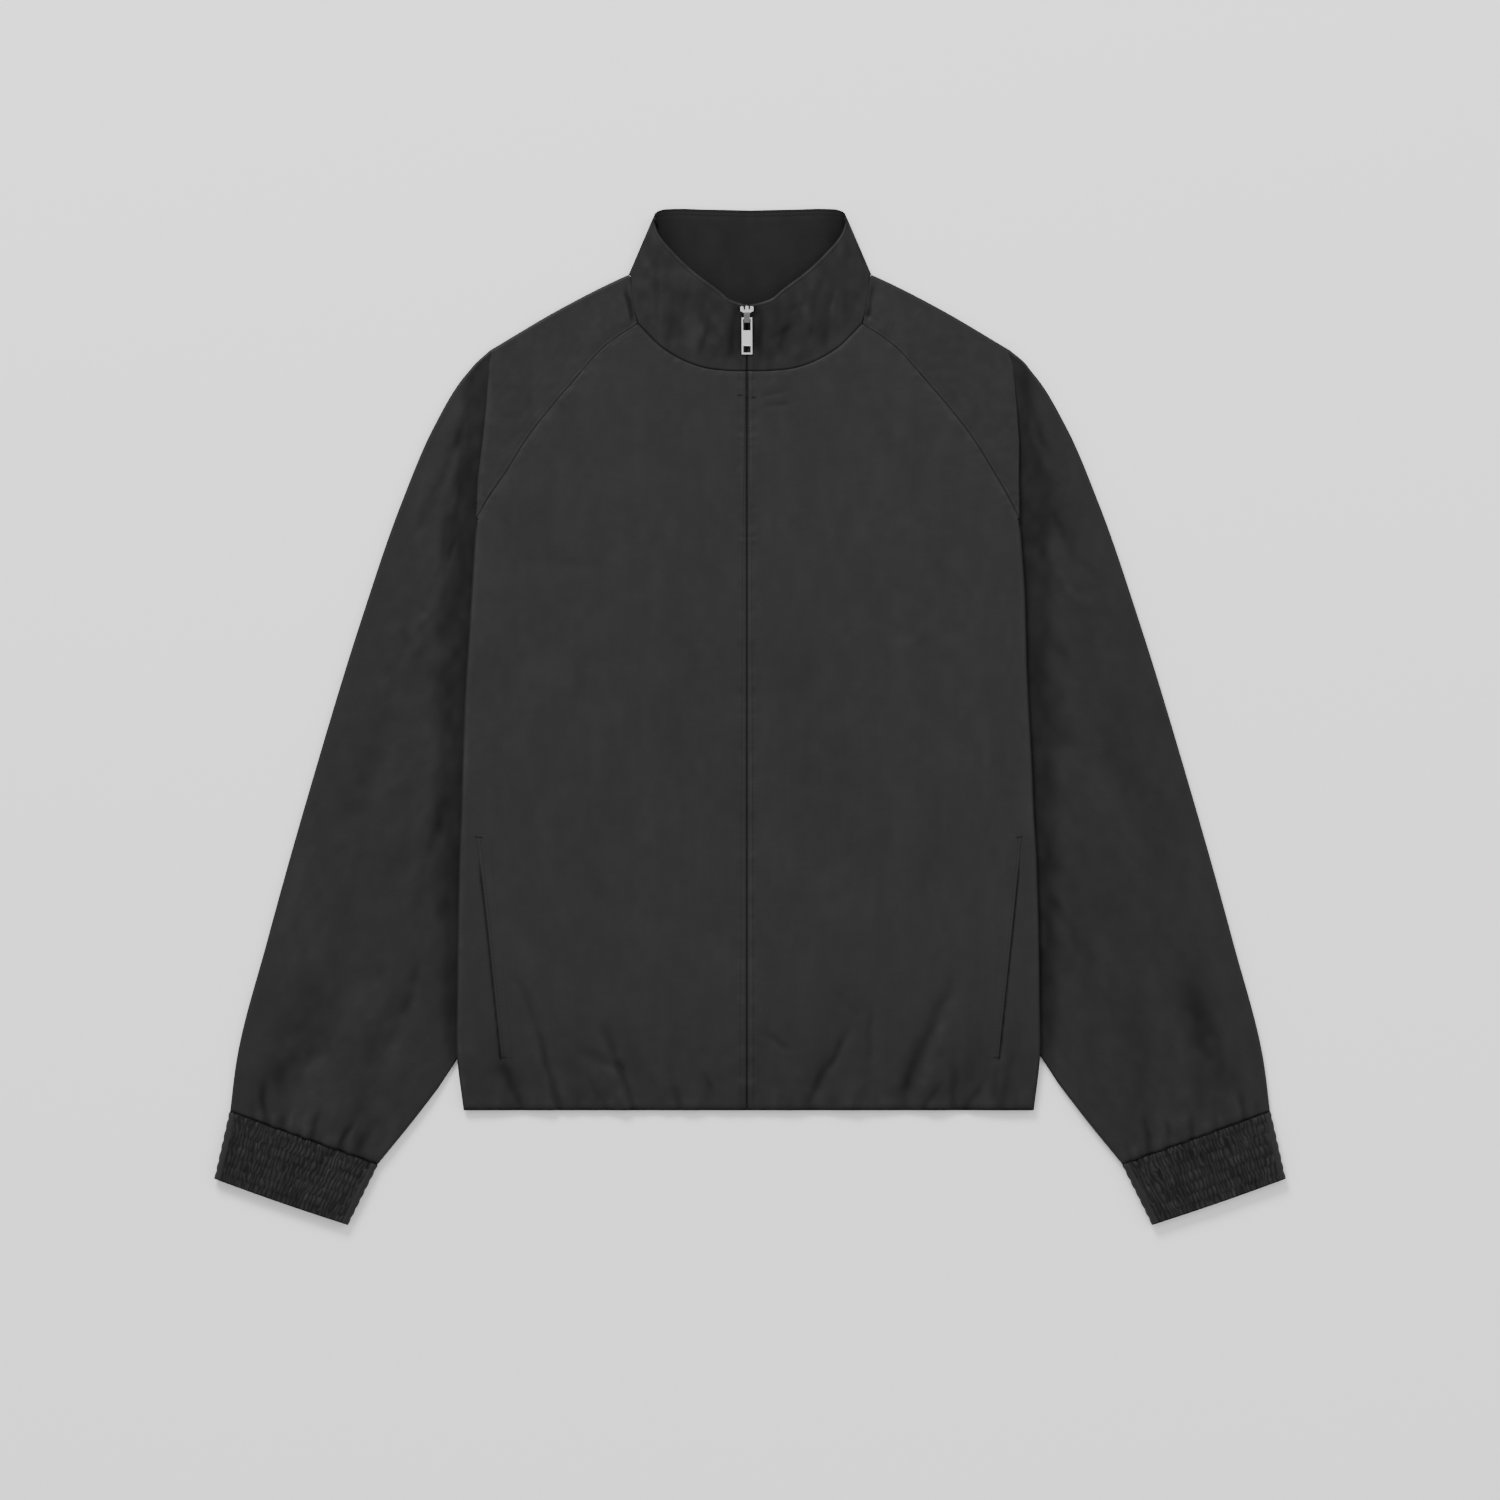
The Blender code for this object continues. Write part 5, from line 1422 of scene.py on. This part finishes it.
def makePull():
    g = pullForm
    node = frame["nodes"]["zip_pull"]
    corners = np.array([node.matrix_world @ v.co for v in node.data.vertices]) / toMetres
    middle = corners.mean(axis=0)
    between = lambda places: (places.max() + places.min()) / 2
    ways = np.linalg.svd(corners - middle)[2]
    down = ways[0] * np.sign(-ways[0][1])            # along the pull towards its tip
    up = np.cross(np.array([1.0, 0.0, 0.0]), -down)
    start = middle + down * (((corners - middle) @ down).min() + g["y"][-1])
    start = start + up * between((corners - start) @ up)
    start[0] = between(corners[:, 0])
    columns, rows = len(g["x"]), len(g["y"])
    points, faces = [], []
    for level in (1, 0):
        for j, y in enumerate(g["y"]):
            for i, x in enumerate(g["x"]):
                sunk = level and i in g["faceColumns"] and j in g["faceRows"]
                height = g["thick"] * (level - 0.5) - (g["sink"] if sunk else 0.0)
                points.append(start + np.array([x, 0.0, 0.0]) - down * y + up * height)
    at = lambda level, i, j: (1 - level) * columns * rows + j * columns + i
    isOpen = lambda i, j: (i < 0 or j < 0 or i >= columns - 1 or j >= rows - 1
                           or (j in g["windowRows"] and i in g["windowColumns"]))
    for j in range(rows - 1):
        for i in range(columns - 1):
            if isOpen(i, j):
                continue
            faces.append([at(1, i, j), at(1, i + 1, j), at(1, i + 1, j + 1), at(1, i, j + 1)])
            faces.append([at(0, i, j + 1), at(0, i + 1, j + 1), at(0, i + 1, j), at(0, i, j)])
            for di, dj, a, b in ((0, -1, (i, j), (i + 1, j)), (1, 0, (i + 1, j), (i + 1, j + 1)),
                                 (0, 1, (i + 1, j + 1), (i, j + 1)), (-1, 0, (i, j + 1), (i, j))):
                if isOpen(i + di, j + dj):
                    faces.append([at(1, *b), at(1, *a), at(0, *a), at(0, *b)])
    mesh = bpy.data.meshes.new("zipPullMetal")
    mesh.from_pydata([tuple(point * toMetres) for point in points], [], faces)
    shape = bmesh.new()
    shape.from_mesh(mesh)
    bmesh.ops.delete(shape, geom=[v for v in shape.verts if not v.link_faces], context="VERTS")
    bmesh.ops.recalc_face_normals(shape, faces=shape.faces)
    shape.to_mesh(mesh)
    shape.free()
    mesh.materials.append(pullMetal)
    obj = linked("zipPullMetal", mesh)
    softenEdges(obj, 0.18)
    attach(obj, "pull")
    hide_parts("zip_pull")


makePull()
print("zip ready")

# The sewing.
stitchForm = {"pitch": 3.0, "length": 2.3, "radius": 0.17, "sunk": 0.06, "fromZip": 5.5,
              "pocketInset": 2.4, "tackLift": 0.42}


# Short threads along a path: each is a six-sided bar with drawn-in ends that dip.
def makeStitches(name, paths, pitch=stitchForm["pitch"], length=stitchForm["length"],
                 radius=stitchForm["radius"]):
    bars = []
    for path in paths:
        run = np.r_[0.0, np.cumsum(np.linalg.norm(np.diff(path, axis=0), axis=1))]
        first = np.arange(0.3, max(run[-1] - length, 0.4), pitch)
        at = first[:, None] + length * np.array([0.0, 0.12, 0.5, 0.88, 1.0])[None, :]
        middle = np.stack([np.interp(at, run, path[:, k]) for k in range(3)], axis=-1)
        way = middle[:, -1] - middle[:, 0]
        way /= np.linalg.norm(way, axis=1, keepdims=True)
        across = np.cross(way, np.array([0.0, 0.0, 1.0]))
        across /= np.linalg.norm(across, axis=1, keepdims=True)
        up = np.cross(across, way)
        middle = middle + up[:, None] * (radius * np.array([-1.1, 0.1, 0.5, 0.1, -1.1]))[:, None]
        full = radius * np.array([0.25, 0.9, 1.0, 0.9, 0.25])
        angle = np.arange(6) * math.pi / 3
        ring = (across[:, None, None] * np.cos(angle)[:, None]
                + up[:, None, None] * np.sin(angle)[:, None])
        bars.append((middle[:, :, None] + ring * full[None, :, None, None]).reshape(-1, 3))
    points = np.concatenate(bars)
    number = len(points) // 30
    ends = np.array([[5, 4, 3, 2, 1, 0], [24, 25, 26, 27, 28, 29]])
    ends = (ends + 30 * np.arange(number)[:, None, None]).reshape(-1, 6)
    return meshObject(name, points, barFaces(6, number).tolist() + ends.tolist(), sewingThread)


# On top of a shell: half its wall over its middle, and a little sunk in.
def over(path, wall):
    return path + np.array([0.0, 0.0, wall / 2 - stitchForm["sunk"]])


# Down the column of the grid that runs beside the zip, but for its ends.
def besideZip(grid, side, lastRows, wall):
    away = np.abs(grid[5, :, 0] - cut["centreX"] * side)
    column = int(np.argmin(np.abs(away - stitchForm["fromZip"])))
    return over(mirrored(grid[3:-lastRows, column], side), wall)


def zipRows(side):
    return [besideZip(frontTops[side], side, 3, cut["shellWall"]),
            besideZip(collarParts[side][0][0], side, 5, collarForm["wall"])]


def collarEdgeRow(side, distance):
    grid = collarParts[side][2][0]
    row = int(np.argmin(np.abs(np.linalg.norm(grid[:, -1] - grid[-1, -1], axis=1) - distance)))
    return over(mirrored(grid[row, 2:], side), collarForm["wall"])


def pocketRow(side):
    slit = evenly("pocket", 90)
    inset = stitchForm["pocketInset"]
    x = slit[:, 0] - inset
    y = slit[:, 1] + inset * 0.1
    z = weltHeight(x, y, np.full(len(x), inset / weltForm["width"]), np.linspace(0, 1, len(x)),
                   side)
    return over(mirrored(np.stack([x, y, z], axis=1), side), weltForm["wall"])


# A bartack: threads side by side across a short bar.
def bartack(x, y, wayX, wayY, length, side):
    reach = math.hypot(wayX, wayY)
    wayX, wayY = wayX / reach, wayY / reach
    paths = []
    for place in np.linspace(-length / 2, length / 2, int(length / 0.5)):
        t = np.linspace(-0.75, 0.75, 5)
        px = x + wayX * place - wayY * t
        py = y + wayY * place + wayX * t
        pz = bodyHeight(px * side, py) + stitchForm["tackLift"]
        paths.append(mirrored(np.stack([px, py, pz], axis=1), side))
    return paths


makeStitches("zipStitchesLeft", zipRows(1))
makeStitches("zipStitchesRight", zipRows(-1))
makeStitches("collarEdgeStitches", [collarEdgeRow(side, distance) for side in (1, -1)
                                    for distance in collarForm["edgeRows"]])
makeStitches("pocketStitchesLeft", [pocketRow(1)])
makeStitches("pocketStitchesRight", [pocketRow(-1)])
tacks = []
for side in (1, -1):
    tacks += bartack(215.6, -97.0, 1, 0.1, 4.6, side)
    tacks += bartack(197.2, -273.0, 1, 0.1, 4.6, side)
tacks += bartack(8.0, 256.2, 1, 0, 4.4, -1)
tacks += bartack(2.8, 254.6, 1, 0, 2.6, 1)
makeStitches("bartacks", tacks, 1.6, 1.4, 0.16)
print("sewing ready")

# Floor, light and camera.
studio = {"floor": 9.0, "floorZ": -0.0012, "floorTones": (0.87, 0.88), "frameWidth": 1.2,
          "frameY": -0.0272, "lens": 200.0, "sensor": 36.0, "worldStrength": 1.02,
          # place, size and watts of each soft box
          "keyBox": ((-1.5, 4.2, 3.2), (2.4, 1.8), 420.0),
          "fillBox": ((2.2, 0.6, 2.2), (1.6, 1.6), 22.0)}


def makeFloor():
    half = studio["floor"] / 2
    mesh = bpy.data.meshes.new("floor")
    corners = ((-half, -half), (half, -half), (half, half), (-half, half))
    mesh.from_pydata([(x, y, studio["floorZ"]) for x, y in corners], [], [(0, 1, 2, 3)])
    sh = Shader("paleFloor")
    shade = sh.noise(sh.place(), 0.6, 2.0)
    low, high = studio["floorTones"]
    sh.plug("Base Color", sh.ramp(shade, ((0.3, grey(low)), (0.7, grey(high)))))
    sh.fixed(Roughness=0.9, Specular_IOR_Level=0.1)
    mesh.materials.append(sh.material)
    linked("floor", mesh)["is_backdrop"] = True


# A lit sheet that faces the jacket's middle.
def softBox(name):
    place, size, power = studio[name]
    lamp = bpy.data.lights.new(name, "AREA")
    lamp.shape = "RECTANGLE"
    lamp.size, lamp.size_y = size
    lamp.energy = power
    obj = linked(name, lamp)
    obj.location = place
    obj.rotation_euler = (-Vector(place)).to_track_quat("-Z", "Y").to_euler()


makeFloor()
softBox("keyBox")
softBox("fillBox")
world = bpy.data.worlds.new("studioWorld")
bpy.context.scene.world = world
world.use_nodes = True
feed(world.node_tree.nodes["Background"],
     (("Color", (1.0, 1.0, 1.0, 1.0)), ("Strength", studio["worldStrength"])))
camera = bpy.data.cameras.new("camera")
camera.lens = studio["lens"]
camera.sensor_width = studio["sensor"]
cameraObject = linked("camera", camera)
cameraObject.location = (0.0, studio["frameY"],
                         studio["frameWidth"] * studio["lens"] / studio["sensor"])
bpy.context.scene.camera = cameraObject
print("studio ready")

visualBounds = [list(corner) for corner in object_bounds()]
